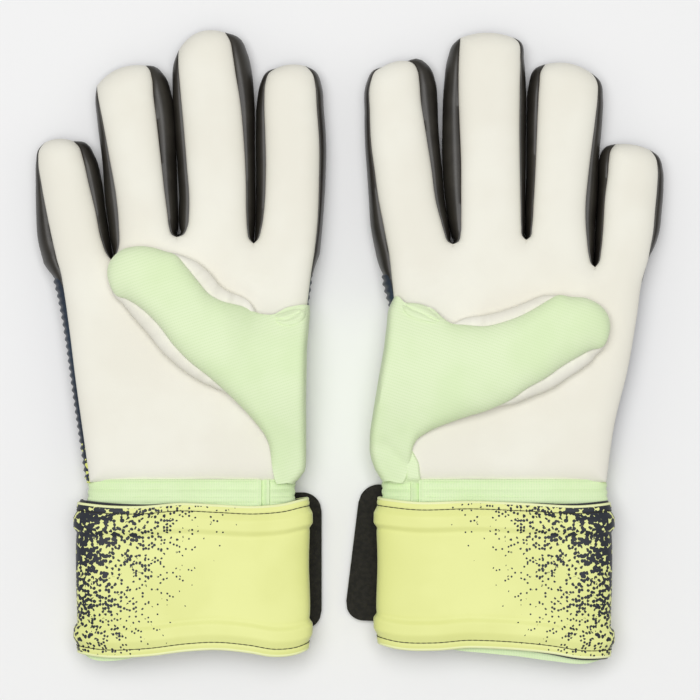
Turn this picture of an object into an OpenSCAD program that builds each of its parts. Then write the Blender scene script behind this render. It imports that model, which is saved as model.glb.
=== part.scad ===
// A pair of goalkeeper gloves lying palm up, with the thumbs folded over the palms.
// Each glove is drawn in its own hand frame, in millimetres: X runs from the little-finger side
// to the thumb side, Y from the wrist seam to the fingertips, and Z up from the surface that the
// glove lies on. The left-hand glove is the mirrored hand, with its own spread and thumb fold.
// Lists of four run little, ring, middle, index.

/* [Pair] */
// Gap between the hook tabs of the two gloves
tab_gap = 11.5; // [6:0.5:60]
// Middle of the pair, from halfway between the two wrists
pair_offset = 1.25; // [0:0.25:4]
// Wrist seams, in front of the pair's middle
wrist_seam_y = 60.5; // [50:0.5:70]

/* [Hand] */
// Thickness of the hand, from the backhand to the palm
hand_h = 25; // [21:0.5:30]
// Width of the hand at the wrist seam
wrist_w = 92; // [84:1:96]
// Little-finger edge of the palm from the middle line, where it starts to flare
palm_edge = 60; // [54:0.5:64]
// Wrist seam to the start of the flare
flare_y = 76; // [60:1:84]
// Thumb edge of the palm from the middle line
thumb_edge = 48; // [46:0.5:50]
// How far the backhand shows round the palm
rim_w = 3; // [2:0.25:5]
// Thickness of the palm latex
latex_t = 4.5; // [3:0.25:6]
// Thickness of the backhand foam
back_t = 4; // [3:0.25:5]
// Thickness of the lining cloth
lining_t = 0.8; // [0.5:0.1:1.2]

/* [Fingers] */
// Finger lengths from the knuckle line
finger_len = [55, 82, 93, 80]; // [45:0.5:105]
// Widest part of each finger
finger_w = [28, 32.5, 35.5, 31.5]; // [24:0.5:36]
// Thickness of a finger at the knuckle line
finger_h = 24; // [20:0.5:28]
// Share of the finger's width that the latex covers
latex_share = 0.73; // [0.6:0.01:0.85]
// Thickness of the finger latex
finger_latex_t = 3.5; // [2.5:0.25:4.5]
// Thickness of the side gussets
gusset_t = 1.6; // [1:0.1:2.4]
// Thickness of the finger backs
finger_back_t = 3; // [2:0.25:4]
// Knuckle line of the right-hand glove: its five corners across the hand
right_web_x = [-67, -36, -8, 26, 54]; // [-70:0.5:58]
// Knuckle line of the left-hand glove
left_web_x = [-67.5, -42, -11.5, 20, 53.5]; // [-70:0.5:58]
// Height of those corners above the wrist seam
web_y = [95, 99, 105, 106.5, 104]; // [90:0.5:112]
// Lean of the right-hand fingers to the little-finger side
right_spread = [9, 7.5, 3.5, -0.5]; // [-10:0.5:14]
// Lean of the left-hand fingers to the little-finger side
left_spread = [8, 4, 0, -7]; // [-10:0.5:14]

/* [Thumb] */
// Thickness of the folded thumb
thumb_h = 15; // [12:0.5:20]
// Thickness of the thumb latex
thumb_latex_t = 3.5; // [2.5:0.25:4.5]
// Thickness of the knitted thumb back
thumb_back_t = 2; // [1.5:0.1:3]
// Share of the thumb's width that the knit covers
knit_share = 0.78; // [0.7:0.01:0.95]
// Thickness of the knitted gusset round the thumb edge
thumb_gusset_t = 1.6; // [1:0.1:2.4]

/* [Wrist] */
// Wrist seam to the end of the wristband
cuff_len = 78; // [70:1:90]
// Wristband past the hand at each side of the wrist
cuff_ease = 1.5; // [0.5:0.25:3]
// Thickness of the whole wristband, over its opening
cuff_h = 18; // [16:0.5:24]
// Thickness of the wristband knit
cuff_t = 2; // [1.5:0.1:3]

/* [Strap] */
// Wrist seam to the strap's near edge
strap_start = 7; // [5:0.5:10]
// Width of the strap
strap_w = 67; // [60:0.5:69]
// Room between the wristband and the strap at each side of the wrist
strap_slack = 2.8; // [1:0.2:5]
// Thickness of the strap band
strap_t = 3.2; // [2.5:0.1:4]
// Thickness of the free flap
flap_t = 2.6; // [2:0.1:3]
// Height of the line where the flap leaves the band
flap_hinge_z = 12; // [10:0.25:14]
// Reach of the flap past the middle line
flap_reach = 28; // [20:1:36]
// Width of the strap's edge binding
binding_w = 1.5; // [1:0.1:2.5]
// Edge of the strap to the middle of each padded rib
rib_inset = 10; // [8:0.5:14]
// Width of a padded rib
rib_w = 8; // [6:0.5:10]
// Height of a padded rib over the band
rib_h = 2; // [1:0.25:3]

/* [Hook and loop] */
// Thickness of the hook tab
hook_t = 1.3; // [1:0.1:2]
// Width of the hook tab
hook_w = 60; // [50:1:64]
// Hook tab past the strap's thumb fold, right-hand glove and left-hand glove
hook_reach = [3, 9]; // [2:0.5:14]
// Hook tab towards the hand, from the middle of the strap
hook_lift = [6, 5.5]; // [0:0.5:7]
// Turn of the hook tab on the flap's end, towards the hand
hook_turn = [0, 7]; // [0:0.5:8]
// Corner radius of the hook tab
hook_r = 12; // [6:1:16]
// Thickness of the loop patch
loop_t = 1; // [0.8:0.1:1.6]
// Loop patch width along the strap
loop_len = 42; // [30:1:48]

/* [Clearances] */
// Gap between pieces that are sewn together
seam_gap = 0.2; // [0.1:0.05:0.3]
// Gap between pieces that move against each other
move_gap = 0.4; // [0.3:0.05:0.8]
// Gap between neighbouring fingers at the knuckle line
web_gap = 1.2; // [0.8:0.1:2]

/* [Hidden] */
SIDES = ["right", "left"];
FINGERS = ["little", "ring", "middle", "index"];
HAND_PARTS = ["palm_latex", "palm_lining", "backhand", "back_lining", "thumb_gusset", "thumb_latex",
              "thumb_back", "wristband", "strap_band", "strap_ribs", "strap_binding", "loop_patch",
              "strap_flap", "hook_tab"];
FINGER_PARTS = ["latex", "gussets", "back"];
NODES = [for (s = SIDES) each concat(
    [for (p = HAND_PARTS) str(s, "_", p)],
    [for (f = FINGERS, p = FINGER_PARTS) str(s, "_", f, "_", p)])];
node = "all";

LATEX = [0.95, 0.94, 0.89];
NAVY = [0.14, 0.2, 0.28];
BLACK = [0.2, 0.19, 0.18];
GREEN = [0.87, 0.96, 0.78];
LIME = [0.91, 0.93, 0.62];

web_x = [right_web_x, left_web_x];
spread = [right_spread, left_spread];

// Squareness of the sections: 2 is an ellipse, more is nearer a rectangle
hand_n = 3.5;
finger_n = 2.7;
thumb_n = 3;
wrist_n = 4;

// Facets across the hand's panels, a finger's panels, the thumb's back and the strap
hand_cols = 14;
finger_cols = 4;
thumb_cols = 6;
band_cols = 24;

// Widths of the wristband and of the strap round it, from the width of the hand
cuff_w = wrist_w + 2 * cuff_ease;
strap_span = cuff_w + 2 * (strap_slack + strap_t);

// End of each hook tab along the flap, and how far its turned corner reaches from the middle line
hook_tip = [for (r = hook_reach) strap_span / 2 + r];
hook_far = [for (g = [0, 1]) flap_reach + hook_r + (hook_tip[g] - hook_r - flap_reach) * cos(hook_turn[g])
    + (hook_w / 2 - hook_r) * sin(hook_turn[g])];

// Wrist middle of each glove: the two lie side by side with their hook tabs clear
wrist_pitch = hook_far[0] + hook_far[1] + tab_gap;
wrist_x = [-wrist_pitch / 2 - pair_offset, wrist_pitch / 2 - pair_offset];

// Height of the wrist: the flap, the hook tab and the loop patch lie under the band
hook_z = flap_t + seam_gap;
band_z = hook_z + hook_t + move_gap + loop_t + seam_gap;
band_h = cuff_h + 2 * (strap_t + seam_gap);
wrist_z = band_z + band_h / 2;
strap_end = strap_start + strap_w;

// The thumb turns on a line just outside the palm's thumb edge, and lies just over the palm
thumb_hinge_x = thumb_edge + move_gap;
thumb_z = hand_h + move_gap + thumb_h / 2;
thumb_mouth = [4, 77];

// Thumb control ribs from the hinge to the tip: wrist-side corners, then finger-side corners
thumb_low = [
    [[thumb_hinge_x, thumb_mouth[0]], [34, 16.5], [7, 44.5], [-13, 61], [-28, 77]],
    [[thumb_hinge_x, thumb_mouth[0]], [34, 18], [7.5, 32.5], [-18, 42], [-36, 54]]];
thumb_high = [
    [[thumb_hinge_x, thumb_mouth[1]], [34, 70], [14, 84], [0, 96], [-17, 101]],
    [[thumb_hinge_x, thumb_mouth[1]], [34, 69.5], [8, 72], [-14, 79], [-34, 82]]];
thumb_swell = [0.8, 0.95, 1, 1, 0.95];
thumb_cap_len = 11;

// Shared curves and lofts

function lerp(a, b, t) = a + (b - a) * t;
function ease(t) = let (c = min(max(t, 0), 1)) c * c * (3 - 2 * c);
function spow(v, p) = sign(v) * pow(abs(v), p);
function unit(v) = v / norm(v);

// Point at angle u on a rounded section with half-width a, half-height b and squareness n
function rim(a, b, u, n) = [a * spow(cos(u), 2 / n), b * spow(sin(u), 2 / n)];

// Angle at which the upper rim lies x from the section's middle
function rim_angle(x, a, n) = acos(spow(min(max(x / a, -1), 1), n / 2));

// Angle at which the upper rim lies z over the section's middle, on the X side
function rim_rise(z, b, n) = asin(spow(min(max(z / b, -1), 1), n / 2));

// Smooth curve through a list of numbers or points, at a place from 0 to 1
function along(list, t) =
    let (n = len(list) - 1, p = t * n, i = min(floor(p), n - 1), f = p - i,
         a = list[max(i - 1, 0)], b = list[i], c = list[i + 1], d = list[min(i + 2, n)])
    b + f * (c - a + f * (2 * a - 5 * b + 4 * c - d + f * (3 * b - a - 3 * c + d))) / 2;

// Closed sheet between an outer grid and an inner grid of points, with rows along the piece
module sheet(outer, inner, ring = false) {
    rows = len(outer);
    cols = len(outer[0]);
    last = ring ? cols - 1 : cols - 2;
    points = concat([for (r = outer) each r], [for (r = inner) each r]);
    function at(i, j, s) = s * rows * cols + i * cols + j % cols;
    function quad(a, b, c, d) = [[a, b, c], [a, c, d]];
    skin = [for (i = [0 : rows - 2], j = [0 : last]) each concat(
        quad(at(i, j, 0), at(i, j + 1, 0), at(i + 1, j + 1, 0), at(i + 1, j, 0)),
        quad(at(i, j, 1), at(i + 1, j, 1), at(i + 1, j + 1, 1), at(i, j + 1, 1)))];
    ends = [for (j = [0 : last]) each concat(
        quad(at(0, j, 0), at(0, j, 1), at(0, j + 1, 1), at(0, j + 1, 0)),
        quad(at(rows - 1, j, 0), at(rows - 1, j + 1, 0), at(rows - 1, j + 1, 1), at(rows - 1, j, 1)))];
    sides = ring ? [] : [for (i = [0 : rows - 2]) each concat(
        quad(at(i, 0, 0), at(i + 1, 0, 0), at(i + 1, 0, 1), at(i, 0, 1)),
        quad(at(i, cols - 1, 0), at(i, cols - 1, 1), at(i + 1, cols - 1, 1), at(i + 1, cols - 1, 0)))];
    polyhedron(points, concat(skin, ends, sides));
}

// Row of points on one rib, from angle u0 to u1. A rib is [middle, direction across, a, b, n]
function rib_row(rib, u0, u1, t, cols, ring = false) =
    [for (j = [0 : ring ? cols - 1 : cols])
        let (p = rim(rib[2] - t, rib[3] - t, lerp(u0, u1, j / cols), rib[4]))
        [rib[0].x + rib[1].x * p.x, rib[0].y + rib[1].y * p.x, rib[0].z + p.y]];

// Panel of a stall, t thick. spans gives each rib's first and last angle.
// At the last rib the panels fill the section, which closes the tip.
module panel(ribs, spans, t, cols) {
    last = len(ribs) - 1;
    depth = [for (i = [0 : last]) i < last ? t : min(ribs[i][2], ribs[i][3]) - seam_gap / 2];
    sheet([for (i = [0 : last]) rib_row(ribs[i], spans[i][0], spans[i][1], 0, cols)],
          [for (i = [0 : last]) rib_row(ribs[i], spans[i][0], spans[i][1], depth[i], cols)]);
}

// Hand

// Point on the knuckle line at x
function knuckle_y(g, x) =
    let (w = web_x[g], k = x < w[1] ? 0 : x < w[2] ? 1 : x < w[3] ? 2 : 3)
    lerp(web_y[k], web_y[k + 1], (x - w[k]) / (w[k + 1] - w[k]));

// Edges of the hand at a height above the wrist seam
function little_edge_x(g, y) = y < flare_y
    ? lerp(-wrist_w / 2, -palm_edge, y / flare_y)
    : lerp(-palm_edge, web_x[g][0], ease((y - flare_y) / (web_y[0] - flare_y)));
function thumb_edge_x(g, y) = y < flare_y
    ? lerp(wrist_w / 2, thumb_edge, ease(y / (flare_y / 3)))
    : lerp(thumb_edge, web_x[g][4], ease((y - flare_y) / (web_y[4] - flare_y)));

// Point of the hand's skin: share s of the way to the knuckle line, angle u, depth t.
// The backhand lies flat, so the section is cut level where it meets the surface.
function hand_point(g, s, u, t) =
    let (c = rim(1, 1, u, hand_n),
         top = knuckle_y(g, lerp(web_x[g][0], web_x[g][4], (c.x + 1) / 2)) - move_gap / 2,
         y = s * top,
         x0 = little_edge_x(g, y),
         x1 = thumb_edge_x(g, y),
         sag = back_t / 8,
         z = hand_h / 2 - sag / 2 + c.y * (hand_h / 2 + sag / 2 - t))
    [(x0 + x1) / 2 + c.x * ((x1 - x0) / 2 - t), y, max(z, t)];

// Angle of the seam between palm and backhand, on the thumb side and on the little-finger side
function palm_seam(side) =
    let (a = (palm_edge + thumb_edge) / 2) side > 0 ? rim_angle(a - rim_w, a, hand_n)
                                                    : 180 - rim_angle(a - rim_w, a, hand_n);

// Half of the sewing gap, as an angle on the hand's rim
seam_angle = 1;

// Rows of the hand's panels, as shares of the way to the knuckle line. The thumb's side is open
// up to the flare.
open_share = flare_y / max(web_y);
hand_rows = concat([for (i = [0 : 5]) open_share * i / 5],
                   [for (i = [1 : 4]) lerp(open_share, 1, i / 4)]);

// Panel of the hand between depths t0 and t1. angles gives the places of each row's points
module hand_panel(g, angles, t0, t1) {
    function grid(t) = [for (i = [0 : len(hand_rows) - 1])
        [for (u = angles[i]) hand_point(g, hand_rows[i], u, t)]];
    sheet(grid(t0), grid(t1));
}

palm_angles = [for (j = [0 : hand_cols])
    lerp(palm_seam(1) + seam_angle, palm_seam(-1) - seam_angle, j / hand_cols)];

// The backhand covers the back and the little-finger edge up to the palm. On the thumb's side it
// stops at the opening for the thumb, and over the flare it wraps that edge too.
corner_angle = 330;
opening_angle = 336;
flange_cols = 4;
back_angles = [for (j = [0 : hand_cols]) lerp(palm_seam(-1) + seam_angle, corner_angle, j / hand_cols)];
function flange_angles(top) = [for (j = [1 : flange_cols]) lerp(corner_angle, top, j / flange_cols)];
function back_row(share) = concat(back_angles,
    flange_angles(share <= open_share ? opening_angle : 360 + palm_seam(1) - seam_angle));

// The back lining covers the flat of the back, on every second column
back_lining_angles = [for (j = [4 : 2 : hand_cols]) back_angles[j]];

module palm_latex(g) {
    color(LATEX) hand_panel(g, [for (r = hand_rows) palm_angles], 0, latex_t);
}

module palm_lining(g) {
    top = latex_t + seam_gap;
    color(LATEX) hand_panel(g, [for (r = hand_rows) palm_angles], top, top + lining_t);
}

module backhand(g) {
    color(NAVY) hand_panel(g, [for (r = hand_rows) back_row(r)], 0, back_t);
}

module back_lining(g) {
    top = back_t + seam_gap;
    color(BLACK) hand_panel(g, [for (r = hand_rows) back_lining_angles], top, top + lining_t);
}

// Fingers

// Middle of the knuckle line of finger k, and the direction of that line
function knuckle_mid(g, k) =
    [(web_x[g][k] + web_x[g][k + 1]) / 2, (web_y[k] + web_y[k + 1]) / 2];
function knuckle_dir(g, k) = unit([web_x[g][k + 1] - web_x[g][k], web_y[k + 1] - web_y[k]]);
function knuckle_w(g, k) =
    norm([web_x[g][k + 1] - web_x[g][k], web_y[k + 1] - web_y[k]]) - web_gap;

// The straight part of a finger runs up to the cap that rounds its tip
finger_steps = [0, 0.25, 0.6];
cap_angles = [0, 28, 50, 68, 80];
cap_share = 0.5;

// One rib of a finger, at a share s of its straight part and an angle round its cap
function finger_rib(g, k, s, cap) =
    let (lean = spread[g][k],
         cap_len = finger_w[k] * cap_share,
         straight = finger_len[k] - cap_len,
         d = s * straight + cap_len * sin(cap) / sin(cap_angles[4]) + move_gap / 2,
         across = unit(lerp(knuckle_dir(g, k), [cos(lean), sin(lean)], ease(3 * s))),
         mid = knuckle_mid(g, k) + d * [-sin(lean), cos(lean)],
         root = knuckle_w(g, k) / 2,
         half = lerp(root, finger_w[k] / 2, ease(1.6 * s)) * pow(cos(cap), 0.75),
         thin = lerp(1, 0.9, s),
         tip = finger_latex_t + gusset_t / 2,
         b = lerp(tip, thin * finger_h / 2, pow(cos(cap), 0.8)))
    [[mid.x, mid.y, thin * finger_h / 2], across, half, b, finger_n];

function finger_ribs(g, k) = concat(
    [for (s = finger_steps) finger_rib(g, k, s, 0)],
    [for (c = cap_angles) finger_rib(g, k, 1, c)]);

// Angle of the latex edge on a rib, moved outwards by half of the sewing gap
function edge_angle(rib, out) = rim_angle(rib[2] * latex_share + out * seam_gap / 2, rib[2], rib[4]);

module finger_latex(g, k) {
    ribs = finger_ribs(g, k);
    spans = [for (r = ribs) let (e = edge_angle(r, -1)) [e, 180 - e]];
    color(LATEX) panel(ribs, spans, finger_latex_t, finger_cols);
}

module finger_gussets(g, k) {
    ribs = finger_ribs(g, k);
    color(BLACK) for (turn = [0, 180])
        panel(ribs, [for (r = ribs) let (e = edge_angle(r, 1)) [turn - e, turn + e]], gusset_t, finger_cols);
}

module finger_back(g, k) {
    ribs = finger_ribs(g, k);
    spans = [for (r = ribs) let (e = edge_angle(r, -1)) [180 + e, 360 - e]];
    color(NAVY) panel(ribs, spans, finger_back_t, finger_cols);
}

// Thumb

thumb_steps = 6;
thumb_cap_angles = [30, 52, 70, 80];

function thumb_rib(g, t, cap) =
    let (lo = along(thumb_low[g], t),
         hi = along(thumb_high[g], t),
         tip = (thumb_low[g][4] + thumb_high[g][4]) / 2 - (thumb_low[g][3] + thumb_high[g][3]) / 2,
         mid = (lo + hi) / 2 + unit(tip) * thumb_cap_len * sin(cap) / sin(thumb_cap_angles[3]),
         end = thumb_latex_t + thumb_back_t / 2,
         b = lerp(end, along(thumb_swell, t) * thumb_h / 2, pow(cos(cap), 0.7)))
    [[mid.x, mid.y, thumb_z - thumb_h / 2 + along(thumb_swell, t) * thumb_h / 2], unit(hi - lo),
     norm(hi - lo) / 2 * pow(cos(cap), 0.7), b, thumb_n];

function thumb_loft(g) = concat(
    [for (i = [0 : thumb_steps]) thumb_rib(g, i / thumb_steps, 0)],
    [for (c = thumb_cap_angles) thumb_rib(g, 1, c)]);

function knit_angle(rib, out) = rim_angle(rib[2] * knit_share + out * seam_gap / 2, rib[2], rib[4]);

module thumb_back(g) {
    ribs = thumb_loft(g);
    spans = [for (r = ribs) let (e = knit_angle(r, -1)) [e, 180 - e]];
    color(GREEN) panel(ribs, spans, thumb_back_t, thumb_cols);
}

module thumb_latex(g) {
    ribs = thumb_loft(g);
    spans = [for (r = ribs) let (e = knit_angle(r, 1)) [180 - e, 360 + e]];
    color(LATEX) panel(ribs, spans, thumb_latex_t, thumb_cols + 2);
}

// Knitted cloth from under the backhand's edge round the outside of the thumb fold. It stands off
// the fold by fold_room sideways and fold_rise above, and tucks under the backhand by gusset_tuck.
gusset_span = [-84, 66];
gusset_cols = 10;
fold_in = 4;
fold_room = 2;
fold_rise = 1.2;
gusset_tuck = 1;

module thumb_gusset(g) {
    low = back_t - gusset_tuck;
    top = thumb_z + (thumb_swell[0] - 0.5) * thumb_h;
    a = fold_in + fold_room + thumb_gusset_t;
    b = (top - low) / 2 + fold_rise + thumb_gusset_t;
    function row(y, t) = [for (j = [0 : gusset_cols])
        let (p = rim(a - t, b - t, lerp(gusset_span[0], gusset_span[1], j / gusset_cols), wrist_n))
        [thumb_hinge_x - fold_in + p.x, y, (low + top) / 2 + p.y]];
    color(GREEN) sheet([for (y = thumb_mouth) row(y, 0)], [for (y = thumb_mouth) row(y, thumb_gusset_t)]);
}

// Wrist

// A rib of the wrist at a distance in front of the wrist seam, with a half-width and a half-height
function wrist_rib(y, a, b, z) = [[0, -y, z], [1, 0], a, b, wrist_n];

module wristband(g) {
    bend = strap_start - seam_gap;
    stops = [seam_gap, bend / 3, 2 * bend / 3, bend, cuff_len];
    ribs = [for (y = stops) let (e = ease(y / bend), a = lerp(wrist_w, cuff_w, e) / 2)
        wrist_rib(y, a, lerp(hand_h, cuff_h, e) / 2, lerp(hand_h / 2, wrist_z, e))];
    color(GREEN) sheet([for (r = ribs) rib_row(r, 360, 0, 0, band_cols, true)],
                       [for (r = ribs) rib_row(r, 360, 0, cuff_t, band_cols, true)], true);
}

// The strap is sewn to the cuff's back, runs round the thumb side and over the front, and ends at
// the flap's fold line. Angles run from the back round the thumb side.
band_start = -96;
band_stop = 180 - rim_rise(flap_hinge_z + move_gap / 2 - wrist_z, band_h / 2, wrist_n);

// Part of the band between two distances from the wrist seam, raised by lift over its outside
module band_strip(y0, y1, u0, u1, lifts, t, cols) {
    n = len(lifts) - 1;
    rows = [for (i = [0 : n]) lerp(y0, y1, i / n)];
    function row(y, out) =
        rib_row(wrist_rib(y, strap_span / 2 + out, band_h / 2 + out, wrist_z), u1, u0, 0, cols);
    sheet([for (i = [0 : n]) row(rows[i], lifts[i])], [for (y = rows) row(y, -t)]);
}

module strap_band(g) {
    color(LIME) band_strip(strap_start + binding_w + seam_gap, strap_end - binding_w - seam_gap,
                           band_start, band_stop, [0, 0], strap_t, band_cols);
}

module strap_binding(g) {
    color(GREEN) for (y = [strap_start, strap_end - binding_w])
        band_strip(y, y + binding_w, band_start, band_stop, [0, 0], strap_t, band_cols);
}

// Two padded ribs that run over the band near its edges, and stop clear of the opened flap
rib_angles = [20, 160];
rib_stop = rim_angle(-(strap_span / 2 - rib_h - move_gap), strap_span / 2, wrist_n);

module strap_ribs(g) {
    crown = [for (i = [0 : 3]) seam_gap + rib_h * pow(sin(lerp(rib_angles[0], rib_angles[1], i / 3)), 0.7)];
    color(LIME) for (y = [strap_start + rib_inset, strap_end - rib_inset])
        band_strip(y - rib_w / 2, y + rib_w / 2, 0, rib_stop, crown, -seam_gap, band_cols / 2);
}

// Loop patch under the band's back run, where the hook tab grips
module loop_patch(g) {
    half = strap_span / 2;
    span = [for (x = [0, loop_len]) -rim_angle(x, half, wrist_n)];
    y = strap_start + strap_w / 2;
    depth = loop_t + seam_gap;
    color(BLACK) band_strip(y - hook_w / 2, y + hook_w / 2, span[0], span[1], [depth, depth], -seam_gap, 6);
}

// The flap leaves the band at the little-finger side, turns under the wrist and runs to the thumb side
flap_top = flap_hinge_z - move_gap / 2;

module strap_flap(g) {
    bend_x = -strap_span / 2 + flap_top;
    color(LIME) translate([0, -strap_start, 0]) rotate([90, 0, 0]) linear_extrude(strap_w) {
        translate([bend_x, flap_top]) intersection() {
            difference() {
                circle(flap_top, $fn = 64);
                circle(flap_top - flap_t, $fn = 64);
            }
            translate([-flap_top, -flap_top]) square(flap_top);
        }
        translate([bend_x, 0]) square([flap_reach - bend_x, flap_t]);
    }
}

// Hook tab on the flap's end, with round corners, reaching out past the thumb side
module hook_tab(g) {
    root = -loop_len / 2;
    tip = hook_tip[g] - flap_reach;
    y = hook_lift[g] - strap_start - strap_w / 2;
    color(BLACK) translate([flap_reach, y, hook_z]) rotate(hook_turn[g]) linear_extrude(hook_t) {
        translate([root, -hook_w / 2]) square([tip - hook_r - root, hook_w]);
        translate([tip - hook_r - seam_gap, hook_r - hook_w / 2])
            square([hook_r + seam_gap, hook_w - 2 * hook_r]);
        for (end = [-1, 1])
            translate([tip - hook_r, end * (hook_w / 2 - hook_r)]) circle(hook_r, $fn = 48);
    }
}

// Assembly

module place(g) {
    translate([wrist_x[g], -wrist_seam_y, 0]) mirror([g, 0, 0]) children();
}

function shown(g, part) = node == "all" || node == str(SIDES[g], "_", part);

for (g = [0, 1]) {
    if (shown(g, "palm_latex")) place(g) palm_latex(g);
    if (shown(g, "palm_lining")) place(g) palm_lining(g);
    if (shown(g, "backhand")) place(g) backhand(g);
    if (shown(g, "back_lining")) place(g) back_lining(g);
    if (shown(g, "thumb_gusset")) place(g) thumb_gusset(g);
    if (shown(g, "thumb_latex")) place(g) thumb_latex(g);
    if (shown(g, "thumb_back")) place(g) thumb_back(g);
    if (shown(g, "wristband")) place(g) wristband(g);
    if (shown(g, "strap_band")) place(g) strap_band(g);
    if (shown(g, "strap_ribs")) place(g) strap_ribs(g);
    if (shown(g, "strap_binding")) place(g) strap_binding(g);
    if (shown(g, "loop_patch")) place(g) loop_patch(g);
    if (shown(g, "strap_flap")) place(g) strap_flap(g);
    if (shown(g, "hook_tab")) place(g) hook_tab(g);
    for (k = [0 : 3]) {
        if (shown(g, str(FINGERS[k], "_latex"))) place(g) finger_latex(g, k);
        if (shown(g, str(FINGERS[k], "_gussets"))) place(g) finger_gussets(g, k);
        if (shown(g, str(FINGERS[k], "_back"))) place(g) finger_back(g, k);
    }
}
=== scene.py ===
"""A pair of goalkeeper gloves lying palm up with the thumbs folded over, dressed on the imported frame.

Every glove is drawn in its own hand frame, in millimetres: x from the little-finger side to the thumb
side, y from the wrist seam to the fingertips, z up from the floor. HandFrame.world() turns that into
the row frame in metres. Edges of the cut panels are control points (x, y, width) from root to tip,
where width is how far the panel that is sewn on there bulges out past the seam, seen from above.
"""
import logging
import math
from dataclasses import dataclass, field
from enum import Enum
from typing import Callable, Dict, List, Optional, Sequence, Tuple

import bmesh
import bpy
import numpy as np
from mathutils import Matrix, Vector


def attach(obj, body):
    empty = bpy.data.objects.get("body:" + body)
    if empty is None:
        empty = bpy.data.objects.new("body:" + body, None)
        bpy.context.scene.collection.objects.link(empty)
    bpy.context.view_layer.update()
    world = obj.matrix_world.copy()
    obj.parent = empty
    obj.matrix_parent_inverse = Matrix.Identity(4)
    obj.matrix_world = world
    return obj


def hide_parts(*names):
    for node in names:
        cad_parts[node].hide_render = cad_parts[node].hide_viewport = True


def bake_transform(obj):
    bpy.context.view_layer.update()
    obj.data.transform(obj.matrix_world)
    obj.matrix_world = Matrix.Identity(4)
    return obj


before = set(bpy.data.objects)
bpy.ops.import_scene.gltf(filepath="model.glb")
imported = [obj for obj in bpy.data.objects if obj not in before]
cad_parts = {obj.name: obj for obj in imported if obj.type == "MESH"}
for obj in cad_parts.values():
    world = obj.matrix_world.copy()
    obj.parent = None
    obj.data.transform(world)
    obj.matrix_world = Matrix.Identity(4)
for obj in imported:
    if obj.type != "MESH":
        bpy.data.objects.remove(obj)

LOG = logging.getLogger("gloves")
MM = 0.001

# Sizes shared by the panels, in millimetres; ROLL_SIDES is a plain number
WRIST_SEAM_Y = 60.5
PALM_Z = 25.0
FINGER_TIP_Z = 21.8
LATEX_EDGE_DROP = 4.6
LATEX_EDGE_ROUND = 9.0
TIP_DROP = 6.0
TIP_ROUND = 14.0
BACK_EDGE_RISE = 3.0
BACK_TIP_RISE = 10.4
RIDGE_PITCH = 3.2
KNIT_FOOT_Z = 4.0
BEND_LENGTH = 17.0
STITCH_INSET = 3.0
ROLL_RADIUS = 0.7
ROLL_SIDES = 10
LEAST_CREASE = 0.01

# Name of the attribute for cut edges, and the angles in degrees past which an edge stays sharp
SEAM_MARK = "seam"
CRISP_ANGLE = 38.0
RIDGED_ANGLE = 60.0

# How tight the padded pieces are, from 0, slack, to 1, tight
LATEX_FILL = 0.7
BACK_FILL = 0.8
STRAP_FILL = 0.6
FLAP_FILL = 0.5
PATCH_FILL = 0.9

Array = np.ndarray
Colour = Tuple[float, float, float, float]
Edge = Sequence[Tuple[float, ...]]
Stops = Sequence[Tuple[float, float]]
Piece = bpy.types.Object
Socket = bpy.types.NodeSocket
Sockets = Dict[str, Socket]


class Side(Enum):
    """The two hands."""

    RIGHT = "right"
    LEFT = "left"


class Slot(Enum):
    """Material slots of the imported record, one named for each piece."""

    LATEX = "latex"
    LINING_DARK = "lining_dark"
    BACKHAND = "backhand"
    GUSSET = "gusset"
    KNIT = "knit"
    STRAP = "strap"
    HOOK_LOOP = "hook_loop"


# Curves and profiles


def ease(t: Array) -> Array:
    """Smooth step from 0 to 1."""
    c = np.clip(t, 0.0, 1.0)
    return c * c * (3.0 - 2.0 * c)


def bell(distance: Array, width: float) -> Array:
    """Bell curve: 1 at no distance, and about a third at the width."""
    return np.exp(-(distance / width) ** 2)


def hump(share: Array) -> Array:
    """Parabola that is 1 at a share of one half, and 0 at both ends."""
    return 1.0 - (2.0 * share - 1.0) ** 2


def rounded(distance: Array, radius: float, depth: float) -> Array:
    """Fall of a rounded edge: depth at the edge, nothing from radius inwards."""
    q = np.clip(1.0 - distance / radius, 0.0, 1.0)
    return depth * (1.0 - np.sqrt(np.maximum(1.0 - q * q, 0.0)))


def ridges(y: Array) -> Array:
    """Ridges across the hand, between 0 and 1."""
    return 0.5 + 0.5 * np.cos(2.0 * math.pi * y / RIDGE_PITCH)


def ripple(x: Array, y: Array, pitch: float, seed: float) -> Array:
    """Slow uneven waves between -1 and 1, for cloth and foam that don't lie perfectly even.

    Args:
        x: Places across.
        y: Places along.
        pitch: Wave to wave.
        seed: Shifts the waves.

    Returns:
        The waves at those places.
    """
    k = 2.0 * math.pi / pitch
    return (np.sin(k * x + 1.7 * seed + 1.3 * np.sin(0.6 * k * y + seed))
            * np.cos(0.8 * k * y + 0.9 * seed + 0.8 * np.sin(0.5 * k * x - seed)))


def valley(plan: Array, start: Sequence[float], end: Sequence[float]) -> Array:
    """Depth of a soft valley, 1 deep, along a line between two places in plan.

    Args:
        plan: Places (x, y).
        start: Start of the line.
        end: End of the line.

    Returns:
        The depth at each place.
    """
    a = np.asarray(start, float)
    run = np.asarray(end, float) - a
    length = np.linalg.norm(run)
    rest = plan - a
    along = (rest @ run) / length
    away = (rest[..., 0] * run[1] - rest[..., 1] * run[0]) / length
    return bell(away, 2.2) * ease((along + 3.0) / 6.0) * ease((length + 3.0 - along) / 6.0)


def shares(count: int) -> Array:
    """Even shares from 0 to 1."""
    return np.linspace(0.0, 1.0, count)


def spread_columns(count: int) -> Array:
    """Shares from 0 to 1 that crowd towards both ends, where panels turn over their seams."""
    return 0.5 - 0.5 * np.cos(np.linspace(0.0, math.pi, count))


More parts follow.
